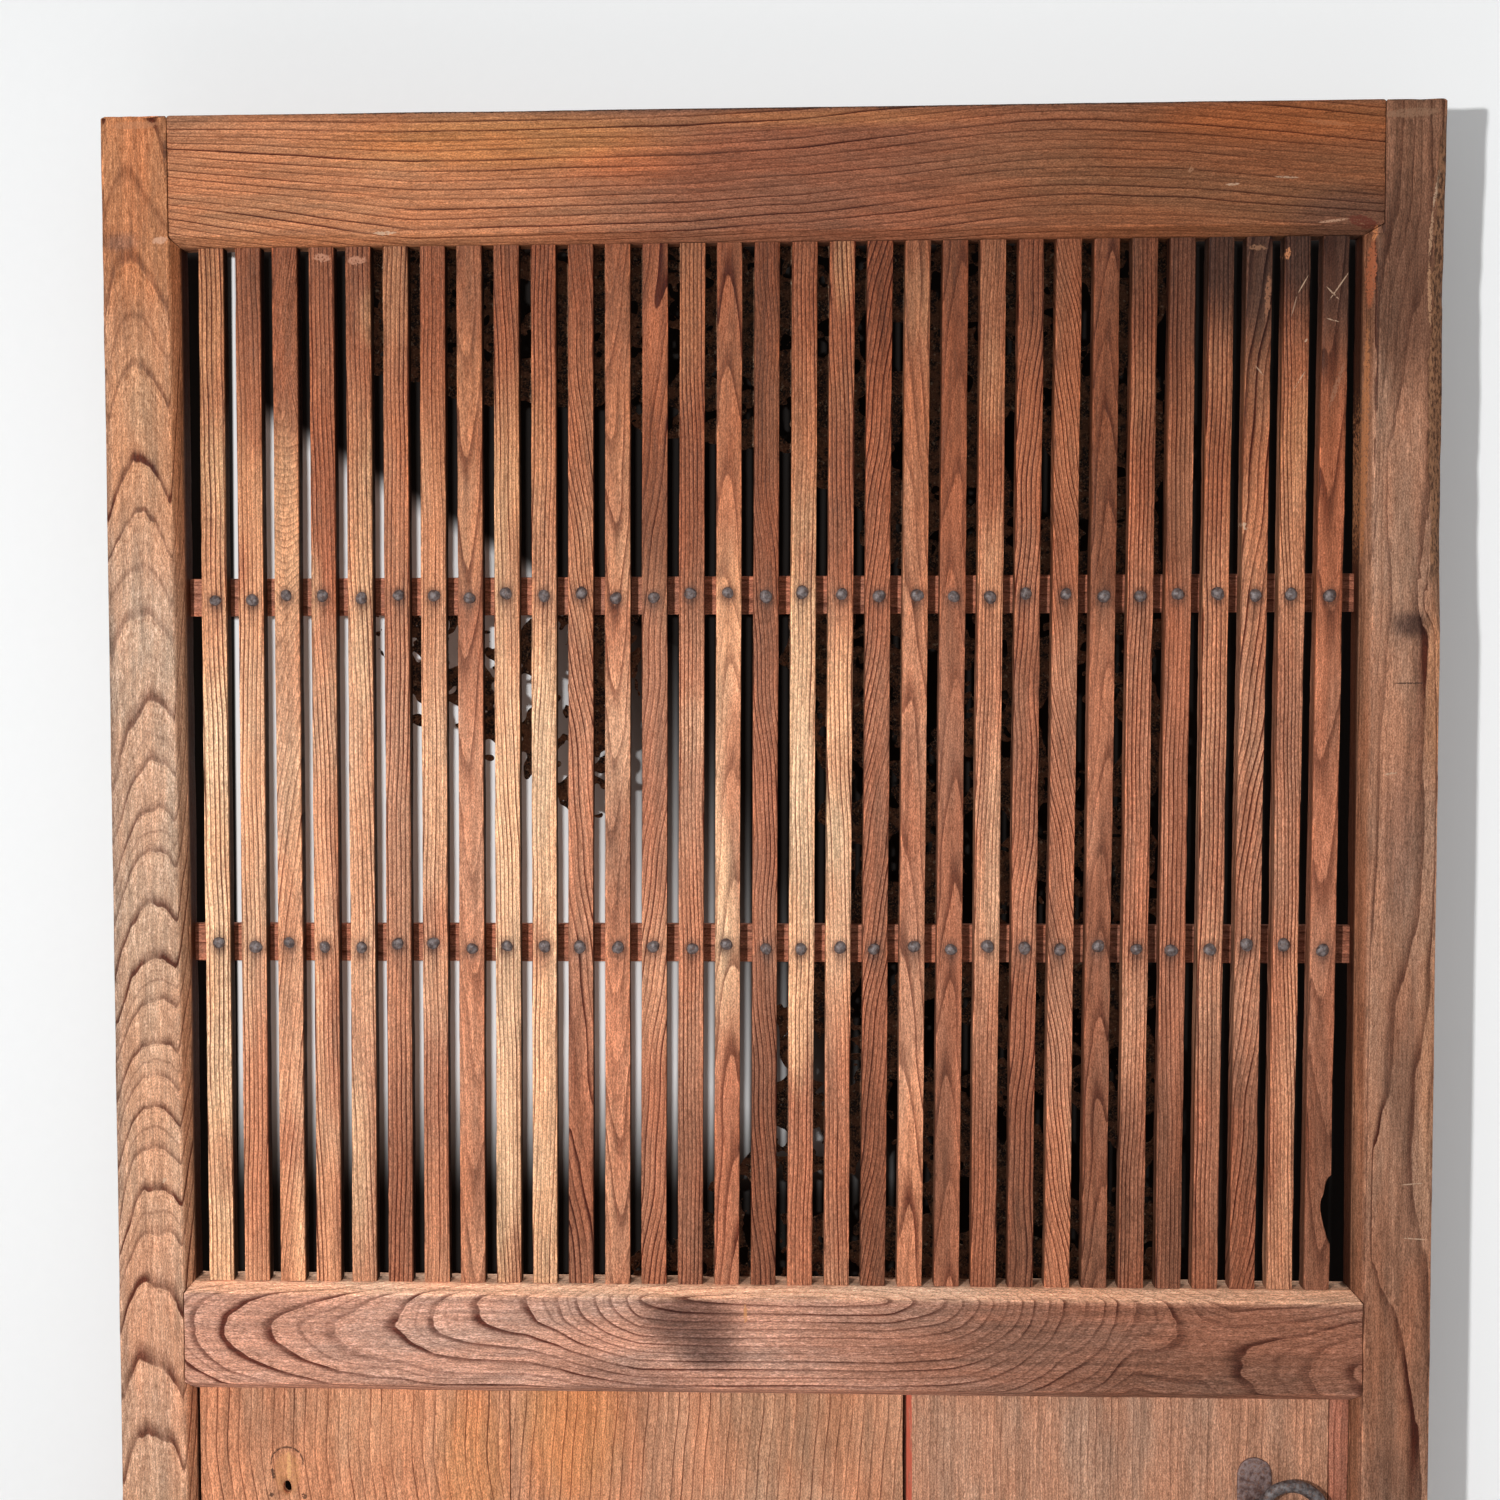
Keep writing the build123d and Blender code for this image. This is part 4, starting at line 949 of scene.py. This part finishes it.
studs = []
for number in range(1, 32):
    node = f"slat_{number:02d}"
    foot, head, low, high = slat_ends(nodes[node])
    slat = make_slat(number, foot, head, low, high)
    chance = random.Random(500 + number)
    weather(slat.data, 30 + number, arris=chance.uniform(0.00025, 0.0006), sway=0.00022)
    if number == 3:
        curl(slat, (foot + head) / 2)
    elif number in STRAIGHT_SLATS:
        cut_from_log(
            slat, 60 + number, across=foot + chance.choice((-1, 1)) * chance.uniform(0.05, 0.12),
            depth=chance.uniform(0.01, 0.05), lean=chance.uniform(-0.03, 0.03), taper=chance.uniform(-0.012, 0.012),
            spacing=chance.uniform(0.0027, 0.0034), wander=0.0010, face=BEVEL_BACK, growth=chance.choice((-1.0, 1.0)),
            late=0.42,
        )
    elif number not in LOOPED_SLATS:
        cut_from_log(
            slat, 60 + number, across=foot + chance.choice((-1, 1)) * chance.uniform(0.03, 0.08),
            depth=chance.uniform(0.01, 0.05), lean=chance.choice((-1, 1)) * chance.uniform(0.06, 0.16),
            taper=chance.uniform(-0.03, 0.03), spacing=chance.uniform(0.0028, 0.0042), wander=0.0030,
            face=BEVEL_BACK, middle=chance.uniform(0.9, 1.6), growth=chance.choice((-1.0, 1.0)), late=0.46,
        )
    else:
        cut_from_log(
            slat, 60 + number, across=foot + chance.uniform(-0.006, 0.006), depth=chance.uniform(0.009, 0.02),
            lean=chance.uniform(-0.012, 0.012), taper=chance.choice((-1, 1)) * chance.uniform(0.03, 0.06),
            spacing=chance.uniform(0.0030, 0.0046), wander=0.0024, face=BEVEL_BACK, growth=-1.0, late=0.52,
        )
    lightness = 0.60
    if number in PALE_SLATS:
        lightness = 0.90
    elif number in LIGHT_SLATS:
        lightness = 0.78
    elif number in DIM_SLATS:
        lightness = 0.45
    lightness *= chance.uniform(0.94, 1.06) * TONES.get(number, 1.0)
    ground = wood(lightness)
    stains = []
    x = (foot + head) / 2
    for part, height, half, light in LENGTHS:
        if part == number:
            stains.append((x, height, 0.08, half, wood(light), 1.0))
    if lightness > 0.66:
        stains.append((x, 1.67, 0.08, 0.22, wood(0.55), 1.0))
    if number in DARK_FEET:
        stains.append((x, 0.87, 0.08, chance.uniform(0.16, 0.24), wood(lightness * 0.60), 0.9))
    for _ in range(4):
        light = lightness * chance.choice((0.66, 0.76, 1.15, 1.25))
        stains.append((
            x + chance.uniform(-0.012, 0.012), chance.uniform(low, high), chance.uniform(0.008, 0.03),
            chance.uniform(0.03, 0.12), wood(min(light, 0.95)), 0.75,
        ))
    for height in (UPPER_STUDS, LOWER_STUDS):
        x = foot + (head - foot) * (height - low) / (high - low)
        stud_x = x + chance.uniform(-0.0015, 0.0015)
        stud_z = height + chance.uniform(-0.0025, 0.0025)
        studs.append((number, height, stud_x, stud_z))
        stains.append((stud_x, stud_z - 0.0015, 0.0095, 0.0115, DARK, 0.80))
        stains.append((stud_x, stud_z - 0.008, 0.006, 0.018, DARK, 0.35))
    if number >= 26:
        strength = 0.92 if number >= 28 else 0.5
        stains.append((head, high + 0.01, 0.05, chance.uniform(0.11, 0.17), SCORCHED, strength))
    bands = (0.6 if number in LOOPED_SLATS else 1.0) + 0.25 * chance.random()
    if number == 3:
        bands = np.interp(positions(slat.data)[:, 2], (1.22, 1.34, 1.50, 1.58), (0.9, 0.38, 0.38, 0.8))
    tint(slat, ground, bands, stains, lambda co: slat_tone_and_painted_shade(co, np.interp(co[:, 2], (low, high), (foot, head))))
    dress(slat, SLAT_WOOD, "slats", node)


# Studs


def make_stud(name, x, z, seed):
    """A hand-made nail head: a low dome that is a little out of round, seated on the slat."""
    chance = random.Random(seed)
    radius, height = chance.uniform(0.0046, 0.0054), chance.uniform(0.0028, 0.0036)
    rings, spokes = 6, 16
    vertices = [(x, BEVEL_BACK + 0.0004, z)]
    for ring in range(rings):
        angle = math.pi / 2 * ring / (rings - 0.4)
        for spoke in range(spokes):
            turn = 2 * math.pi * spoke / spokes
            squash = 1 + 0.06 * math.cos(2 * turn + seed) + 0.035 * math.cos(3 * turn + 2 * seed)
            across = radius * math.cos(angle) * squash
            lump = 1 + 0.16 * wave((math.cos(turn) * across, math.sin(turn) * across, ring * 0.001), 0.003, seed)
            depth = BEVEL_BACK + 0.0003 - height * math.sin(angle) * lump
            vertices.append((x + across * math.cos(turn), depth, z + across * math.sin(turn)))
    vertices.append((x, BEVEL_BACK - height * 1.02, z))
    faces = []
    for spoke in range(spokes):
        after = (spoke + 1) % spokes
        faces.append((0, 1 + after, 1 + spoke))
        for ring in range(rings - 1):
            a, b = 1 + ring * spokes + spoke, 1 + ring * spokes + after
            faces.append((a, b, b + spokes, a + spokes))
        top = 1 + (rings - 1) * spokes
        faces.append((top + spoke, top + after, len(vertices) - 1))
    mesh = bpy.data.meshes.new(name)
    mesh.from_pydata(vertices, [], faces)
    tidy(mesh, 70)
    stud = bpy.data.objects.new(name, mesh)
    bpy.context.scene.collection.objects.link(stud)
    return dress(stud, STUD_IRON, "iron")


for number, height, x, z in studs:
    row = "upper" if height == UPPER_STUDS else "lower"
    make_stud(f"stud_{row}_{number:02d}", x, z, number + (200 if row == "upper" else 300))


# Tie rails


def make_tie(name, node, seed):
    """A tie rail, straight from stile to stile behind the slats."""
    low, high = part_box(node)
    sections, wears = [], []
    for x in stations(low.x + 0.001, high.x - 0.001, 0.012):
        corners = [(high.y, low.z), (low.y, low.z), (low.y, high.z), (high.y, high.z)]
        points, wear = outline(corners, [0.0008] * 4, [3, 6, 3, 6])
        sections.append([(x, y, z) for y, z in points])
        wears.append(wear)
    tie = loft(name, sections, wears)
    weather(tie.data, seed, arris=0.0005, sway=0.0002, along=0)
    cut_from_log(tie, seed, along="x", across=low.z, depth=0.03, taper=0.02, spacing=0.004, face=low.y, middle=0.0)
    tint(tie, (0.46, 0.175, 0.100), 0.75, [
        # The right half of the tie is darkened: painted shade.
        (0.45, (low.z + high.z) / 2, 0.35, 0.05, (0.30, 0.11, 0.065), 0.7),
    ])
    return dress(tie, WOOD, "tie_rails", node)


make_tie("upper_tie_rail_wood", "upper_tie_rail", 71)
make_tie("lower_tie_rail_wood", "lower_tie_rail", 72)


# Boards


def make_board(name, left, right, rear_left, rear_right, seed):
    """A board with its lap, its front arrises eased."""
    corners = [
        (left, BOARD_FRONT), (right, BOARD_FRONT), (right, BOARD_MIDDLE), (rear_right, BOARD_MIDDLE),
        (rear_right, BOARD_BACK), (rear_left, BOARD_BACK), (rear_left, BOARD_MIDDLE), (left, BOARD_MIDDLE),
    ]
    wide = max(4, round((right - left) / 0.012))
    points, wear = outline(
        corners, [0.0006, 0.0006, 0.0001, 0.0001, 0.0003, 0.0003, 0.0001, 0.0001],
        [wide, 2, 1, 2, wide, 2, 1, 2],
    )
    sections = [[(x, y, z) for x, y in points] for z in stations(0.0962, 0.7338, 0.011)]
    board = loft(name, sections, [wear] * len(sections))
    weather(board.data, seed, arris=0.0005, sway=0.0004)
    return board


def punch(board, x, z, wide, high):
    """Cuts a ragged pin hole through a board."""
    rim = []
    for step in range(14):
        turn = 2 * math.pi * step / 14
        ragged = 1 + 0.16 * wave((math.cos(turn), math.sin(turn), z), 0.6, 9)
        rim.append((x + wide / 2 * ragged * math.cos(turn), z + high / 2 * ragged * math.sin(turn)))
    vertices = [(px, y, pz) for y in (BOARD_FRONT - 0.005, BOARD_BACK + 0.005) for px, pz in rim]
    count = len(rim)
    faces = [tuple(range(count)), tuple(reversed(range(count, 2 * count)))]
    faces += [(i, (i + 1) % count, count + (i + 1) % count, count + i) for i in range(count)]
    mesh = bpy.data.meshes.new("cutter")
    mesh.from_pydata(vertices, [], faces)
    tidy(mesh)
    cutter = bpy.data.objects.new("cutter", mesh)
    bpy.context.scene.collection.objects.link(cutter)
    cut = board.modifiers.new("hole", "BOOLEAN")
    cut.object, cut.operation, cut.solver = cutter, "DIFFERENCE", "EXACT"
    bpy.context.view_layer.update()
    whole = board.data
    board.data = bpy.data.meshes.new_from_object(board.evaluated_get(bpy.context.evaluated_depsgraph_get()))
    board.modifiers.clear()
    bpy.data.meshes.remove(whole)
    bpy.data.objects.remove(cutter)


def lap_painted_shade(co):
    """The edges and laps of the boards are painted near black: painted shade in the joints between the boards."""
    share = smooth(BOARD_FRONT + 0.0004, BOARD_FRONT + 0.0018, co[:, 1]) * (1 - smooth(0.0015, 0.0028, co[:, 1]))
    return 1 - np.outer(share, (0.88, 0.92, 0.93))


joints = (-OPENING + 0.0018, -0.2102, 0.1110, 0.1134, 0.4530)
left_board = make_board("left_board_wood", joints[0], joints[1], joints[0], joints[1] + LAP, 81)
punch(left_board, -0.395, 0.643, 0.0075, 0.012)
cut_from_log(left_board, 91, across=-0.66, depth=0.09, taper=0.008, spacing=0.0086, face=BOARD_FRONT, wander=0.0035, middle=0.5, late=0.78)
tint(left_board, (0.60, 0.27, 0.145), 0.85, [
    (-0.40, 0.71, 0.07, 0.05, (0.42, 0.20, 0.115), 0.7),
    (-0.33, 0.70, 0.07, 0.05, (0.58, 0.30, 0.17), 0.6),
    (-0.24, 0.66, 0.04, 0.10, ORANGE, 0.5),
], lap_painted_shade)
dress(left_board, IMPRINTED_WOOD, "boards", "left_board")

middle_board = make_board("middle_board_wood", joints[1], joints[2], joints[1] + LAP + LAP_CLEARANCE, joints[2] + LAP, 82)
cut_from_log(middle_board, 92, across=0.24, depth=0.11, taper=0.006, spacing=0.0080, face=BOARD_FRONT, wander=0.0035, middle=0.5, late=0.78)
tint(middle_board, (0.55, 0.255, 0.142), 0.8, [
    (-0.16, 0.70, 0.06, 0.10, ORANGE, 0.6),
    (0.02, 0.70, 0.09, 0.08, (0.40, 0.21, 0.12), 0.6),
    (0.00, 0.62, 0.10, 0.05, (0.50, 0.29, 0.18), 0.6),
], lap_painted_shade)
dress(middle_board, WOOD, "boards", "middle_board")

right_board = make_board("right_board_wood", joints[3], joints[4], joints[2] + LAP + LAP_CLEARANCE, joints[4] + LAP, 83)
punch(right_board, EYE.x, EYE.z, 0.0088, 0.0046)
cut_from_log(right_board, 93, across=0.62, depth=0.12, taper=0.005, spacing=0.0056, face=BOARD_FRONT, wander=0.003, middle=0.5, late=0.72)
tint(right_board, (0.48, 0.25, 0.155), 0.5, [
    (0.30, 0.70, 0.14, 0.05, (0.42, 0.23, 0.15), 0.6),
    (0.40, 0.63, 0.05, 0.05, (0.26, 0.14, 0.09), 0.5),
], lap_painted_shade)
dress(right_board, PAINTED_WOOD, "boards", "right_board")

edge_strip = make_board("edge_strip_wood", joints[4], OPENING, joints[4] + LAP + LAP_CLEARANCE, OPENING, 84)
cut_from_log(edge_strip, 94, across=0.60, depth=0.10, taper=0.005, spacing=0.0045, face=BOARD_FRONT, middle=0.5)
tint(edge_strip, (0.42, 0.165, 0.102), 0.5, (), lap_painted_shade)
dress(edge_strip, WOOD, "edge_strip", "edge_strip")


# Mesh remains


def make_crust(node, seed, cover):
    """What is left of a sheet of mesh: crusted wire, torn along its edges and full of holes."""
    mesh = nodes[node].data
    low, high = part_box(node)
    solid = BVHTree.FromPolygons([v.co for v in mesh.vertices], [tuple(p.vertices) for p in mesh.polygons])
    pitch = 0.0026
    wide, tall = int((high.x - low.x) / pitch), int((high.z - low.z) / pitch)
    keep = np.zeros((wide, tall), bool)
    for i in range(wide):
        for j in range(tall):
            x, z = low.x + (i + 0.5) * pitch, low.z + (j + 0.5) * pitch
            if solid.ray_cast(Vector((x, 0.0, z)), Vector((0, 1, 0)))[0] is None:
                continue
            lace = 0.8 * wave((x, 0, z), 0.030, seed) + 0.55 * wave((x, 0, z), 0.011, seed + 1)
            lace += 0.55 * wave((x, 0, z), 0.0048, seed + 2)
            keep[i, j] = lace > cover
    index, vertices, faces = {}, [], []
    for i, j in zip(*np.nonzero(keep)):
        corners = []
        for a, b in ((i, j), (i + 1, j), (i + 1, j + 1), (i, j + 1)):
            if (a, b) not in index:
                index[a, b] = len(vertices)
                x, z = low.x + a * pitch, low.z + b * pitch
                x += 0.0009 * wave((x, 1, z), 0.004, seed + 3)
                z += 0.0009 * wave((x, 2, z), 0.004, seed + 4)
                lump = 0.5 + 0.5 * wave((x, 0, z), 0.008, seed + 5)
                y = high.y - 0.0007 - 0.0022 * lump
                vertices.append((x, y, z))
            corners.append(index[a, b])
        faces.append(corners)
    made = bpy.data.meshes.new(node + "_crust")
    made.from_pydata(vertices, [], faces)
    work = bmesh.new()
    work.from_mesh(made)
    for _ in range(2):
        rim = [v for v in work.verts if v.is_boundary]
        moved = {}
        for v in rim:
            beside = [e.other_vert(v).co for e in v.link_edges if e.is_boundary]
            if beside:
                moved[v] = (v.co + sum(beside, Vector()) / len(beside)) / 2
        for v, place in moved.items():
            v.co = place
    work.to_mesh(made)
    work.free()
    made.shade_smooth()
    crust = bpy.data.objects.new(node + "_crust", made)
    bpy.context.scene.collection.objects.link(crust)
    thick = crust.modifiers.new("thickness", "SOLIDIFY")
    thick.thickness, thick.offset = 0.0007, 0.0
    return dress(crust, CRUST, "rusted_mesh", node)


make_crust("mesh_upper", 41, -0.30)
make_crust("mesh_rag", 42, -0.10)
make_crust("mesh_middle", 43, -0.15)
make_crust("mesh_lower", 44, -0.15)


# Ring pull


def make_plate():
    """The forged plate, with its edges hammered thin."""
    low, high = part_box("ring_plate")
    centre, half = (low + high) / 2, (high.x - low.x) / 2
    straight = (high.z - low.z) / 2 - half
    sections, wears = [], []
    for y, inset in ((high.y, 0.0), (low.y + 0.0007, 0.0), (low.y + 0.0002, 0.0004), (low.y, 0.0011), (low.y - 0.0001, 0.004)):
        section = []
        for step in range(72):
            turn = 2 * math.pi * step / 72
            reach = half - inset + 0.0004 * wave((math.cos(turn), math.sin(turn), 0), 0.35, 4)
            z = centre.z + math.copysign(straight, math.sin(turn)) + reach * math.sin(turn)
            section.append((centre.x + reach * math.cos(turn), max(y, low.y), z))
        sections.append(section)
        wears.append([0.0] * 72)
    plate = loft("ring_plate_iron", sections, wears)
    return dress(plate, PLATE_IRON, "iron", "ring_plate")


def make_ring():
    """The forged ring: its bar swells away from the eye and is a little lumpy."""
    droop = math.radians(20)
    outward = Vector((math.cos(droop), 0, -math.sin(droop)))
    upward = Vector((math.sin(droop), 0, math.cos(droop)))
    steps, spokes = 112, 20
    vertices, faces = [], []
    for step in range(steps):
        turn = 2 * math.pi * step / steps
        radial = outward * math.cos(turn) + upward * math.sin(turn)
        bar = (0.0050 + 0.0012 * (0.5 + 0.5 * math.cos(turn)))
        for spoke in range(spokes):
            roll = 2 * math.pi * spoke / spokes
            place = RING_CENTRE + radial * (RING_RADIUS + bar * math.cos(roll)) + Vector((0, -bar * math.sin(roll), 0))
            lump = 0.00028 * wave(place, 0.006, 3) - 0.00025
            place += (radial * math.cos(roll) + Vector((0, -math.sin(roll), 0))) * lump
            vertices.append(tuple(place))
    for step in range(steps):
        for spoke in range(spokes):
            a = step * spokes + spoke
            b = step * spokes + (spoke + 1) % spokes
            c = (step + 1) % steps * spokes + (spoke + 1) % spokes
            d = (step + 1) % steps * spokes + spoke
            faces.append((a, b, c, d))
    mesh = bpy.data.meshes.new("pull_ring_iron")
    mesh.from_pydata(vertices, [], faces)
    tidy(mesh, 80)
    ring = bpy.data.objects.new("pull_ring_iron", mesh)
    bpy.context.scene.collection.objects.link(ring)
    return dress(ring, PULL_IRON, "iron", "pull_ring", body="ring")


make_plate()
make_ring()
nodes["ring_eye"].data.materials.clear()
nodes["ring_eye"].data.materials.append(PULL_IRON)


# Surroundings, light and camera


def backdrop_material(name, colour, level):
    """A pale matt surface with the faintest tooth."""
    s = Shade(name)
    place = s.add("TexCoord", output="Object")
    tooth = s.noise(place, (90, 90, 90), detail=3)
    s.put(s.shader.inputs["Base Color"], s.blend(tooth, mix(colour, (0, 0, 0), 0.02), colour))
    s.shader.inputs["Roughness"].default_value = level
    s.shader.inputs["Specular IOR Level"].default_value = 0.1
    bump = s.add("Bump", {"Strength": 0.08, "Distance": 0.0005, "Height": tooth}, output="Normal")
    s.put(s.shader.inputs["Normal"], bump)
    return s


def lift(shade, share):
    """Light of its own for a pale surface, only where it is looked at."""
    seen = [shade.add("LightPath", output=kind) for kind in ("Is Camera Ray", "Is Glossy Ray", "Is Transmission Ray")]
    seen = shade.sum("MAXIMUM", shade.sum("MAXIMUM", seen[0], seen[1]), seen[2])
    shade.shader.inputs["Emission Color"].default_value = (1, 1, 1, 1)
    shade.put(shade.shader.inputs["Emission Strength"], shade.sum("MULTIPLY", seen, share))


def plane(name, corners, material):
    """A flat four-cornered piece of the surroundings."""
    mesh = bpy.data.meshes.new(name)
    mesh.from_pydata(corners, [], [(0, 1, 2, 3)])
    piece = bpy.data.objects.new(name, mesh)
    bpy.context.scene.collection.objects.link(piece)
    mesh.materials.append(material)
    return piece


floor_shade = backdrop_material("floor", (0.80, 0.80, 0.80), 0.9)
lift(floor_shade, 0.28)
plane("floor", [(-6, -6, 0), (6, -6, 0), (6, 6, 0), (-6, 6, 0)], floor_shade.material)

WALL = 0.100
wall_shade = backdrop_material("wall", (0.90, 0.912, 0.916), 0.9)
across = wall_shade.add("SeparateXYZ", {0: wall_shade.add("TexCoord", output="Object")}, output=0)
height = wall_shade.add("SeparateXYZ", {0: wall_shade.add("TexCoord", output="Object")}, output=2)
slanted = wall_shade.sum("MULTIPLY_ADD", height, 0.45, wall_shade.sum("SUBTRACT", across, 0.5175))
# The wall is painted near black behind most of the leaf, with slanted and stepped edges: a painted shadow, left pale
# only where lit strips show through the lattice at the left.
painted_shadow = wall_shade.ramp(slanted, -0.20, 0.02)
painted_shadow = wall_shade.sum("MAXIMUM", painted_shadow, wall_shade.ramp(height, 0.86, 1.00, 1.0, 0.0))
tilted = wall_shade.sum("MULTIPLY_ADD", height, -0.005, across)
painted_shadow = wall_shade.sum("MAXIMUM", painted_shadow, wall_shade.ramp(tilted, -0.4585, -0.4565, 1.0, 0.0))
upper = wall_shade.ramp(wall_shade.sum("MULTIPLY_ADD", across, 0.6, height), 1.262, 1.290)
painted_shadow = wall_shade.sum("MAXIMUM", painted_shadow, wall_shade.sum("MULTIPLY", upper, wall_shade.ramp(across, -0.448, -0.444)))
painted_shadow = wall_shade.sum("MULTIPLY", painted_shadow, wall_shade.ramp(across, -0.515, -0.505))
painted_shadow = wall_shade.sum("MULTIPLY", painted_shadow, wall_shade.ramp(across, 0.50, 0.53, 1.0, 0.0))
painted_shadow = wall_shade.sum("MULTIPLY", painted_shadow, wall_shade.ramp(height, 1.66, 1.70, 1.0, 0.0))
painted_shadow = wall_shade.sum("MULTIPLY", painted_shadow, wall_shade.ramp(height, 0.05, 0.10))
tooth = wall_shade.shader.inputs["Base Color"].links[0].from_socket
# Painted light: the wall's colour grows up to 7% paler towards the right.
tooth = wall_shade.blend(1.0, tooth, wall_shade.grey(wall_shade.ramp(across, -0.7, 0.9, 1.0, 1.07)), "MULTIPLY")
wall_shade.put(wall_shade.shader.inputs["Base Color"], wall_shade.blend(painted_shadow, tooth, (0.014, 0.012, 0.011)))
behind = wall_shade.add("NewGeometry", output="Backfacing")
clear = wall_shade.add("BsdfTransparent")
shown = wall_shade.add("MixShader", {0: behind, 1: wall_shade.shader.outputs[0], 2: clear})
wall_shade.put(wall_shade.tree.nodes["Material Output"].inputs["Surface"], shown)
# Painted light: the wall's glow grows from none at the left to its most at the right, lightening the leaf's shadow
# there, and is kept out of the painted shadow.
lift(wall_shade, wall_shade.sum("MULTIPLY", wall_shade.ramp(across, -0.5, 0.6, 0.0, 0.13),
                               wall_shade.ramp(painted_shadow, 0.0, 1.0, 1.0, 0.0)))
wall = plane("wall", [(-2.2, WALL, 0), (2.2, WALL, 0), (2.2, WALL, 3.2), (-2.2, WALL, 3.2)], wall_shade.material)
wall.visible_shadow = False
wall.visible_diffuse = False


def area_light(name, place, aim, size, power):
    """A square soft light that shines from a place towards another."""
    data = bpy.data.lights.new(name, "AREA")
    data.shape, data.size, data.energy = "SQUARE", size, power
    light = bpy.data.objects.new(name, data)
    light.matrix_world = Matrix.Translation(place) @ (Vector(aim) - Vector(place)).to_track_quat("-Z", "Y").to_matrix().to_4x4()
    bpy.context.scene.collection.objects.link(light)
    return light


area_light("key", (-0.875, -2.64, 1.46), (-0.1, 0.0, 1.1), 0.07, 56)
# The light from behind serves views of the back, and doesn't fill the shadow between leaf and wall
back_light = area_light("back_light", (-2.0, 2.6, 2.3), (0.0, 0.0, 1.0), 1.4, 52)
back_light.data.cycles.max_bounces = 0
back_light.visible_glossy = False

world = bpy.data.worlds.new("studio")
bpy.context.scene.world = world
world.use_nodes = True
tree = world.node_tree
background = tree.nodes["Background"]
path = tree.nodes.new("ShaderNodeLightPath")
seen = path.outputs["Is Camera Ray"]
for ray in ("Is Glossy Ray", "Is Transmission Ray"):
    either = tree.nodes.new("ShaderNodeMath")
    either.operation = "MAXIMUM"
    tree.links.new(seen, either.inputs[0])
    tree.links.new(path.outputs[ray], either.inputs[1])
    seen = either.outputs[0]
strength = tree.nodes.new("ShaderNodeMapRange")
strength.inputs["To Min"].default_value = 0.29
strength.inputs["To Max"].default_value = 0.90
tree.links.new(seen, strength.inputs["Value"])
tree.links.new(strength.outputs[0], background.inputs["Strength"])
background.inputs["Color"].default_value = (1, 1, 1, 1)

camera_data = bpy.data.cameras.new("camera")
camera_data.sensor_width = 36
camera_data.lens = 62.4
camera_data.shift_x = 0.088
camera = bpy.data.objects.new("camera", camera_data)
right = Vector((0.99872094, 0.05036501, -0.00445497))
down = Vector((-0.00144476, -0.05964703, -0.99821849))
forward = Vector((-0.05054101, 0.99694814, -0.05949797))
turn = Matrix((right, -down, -forward)).transposed()
camera.matrix_world = Matrix.Translation((-0.01313, -2.09711, 1.37718)) @ turn.to_4x4()
bpy.context.scene.collection.objects.link(camera)
bpy.context.scene.camera = camera
bpy.context.scene.view_settings.view_transform = "Standard"
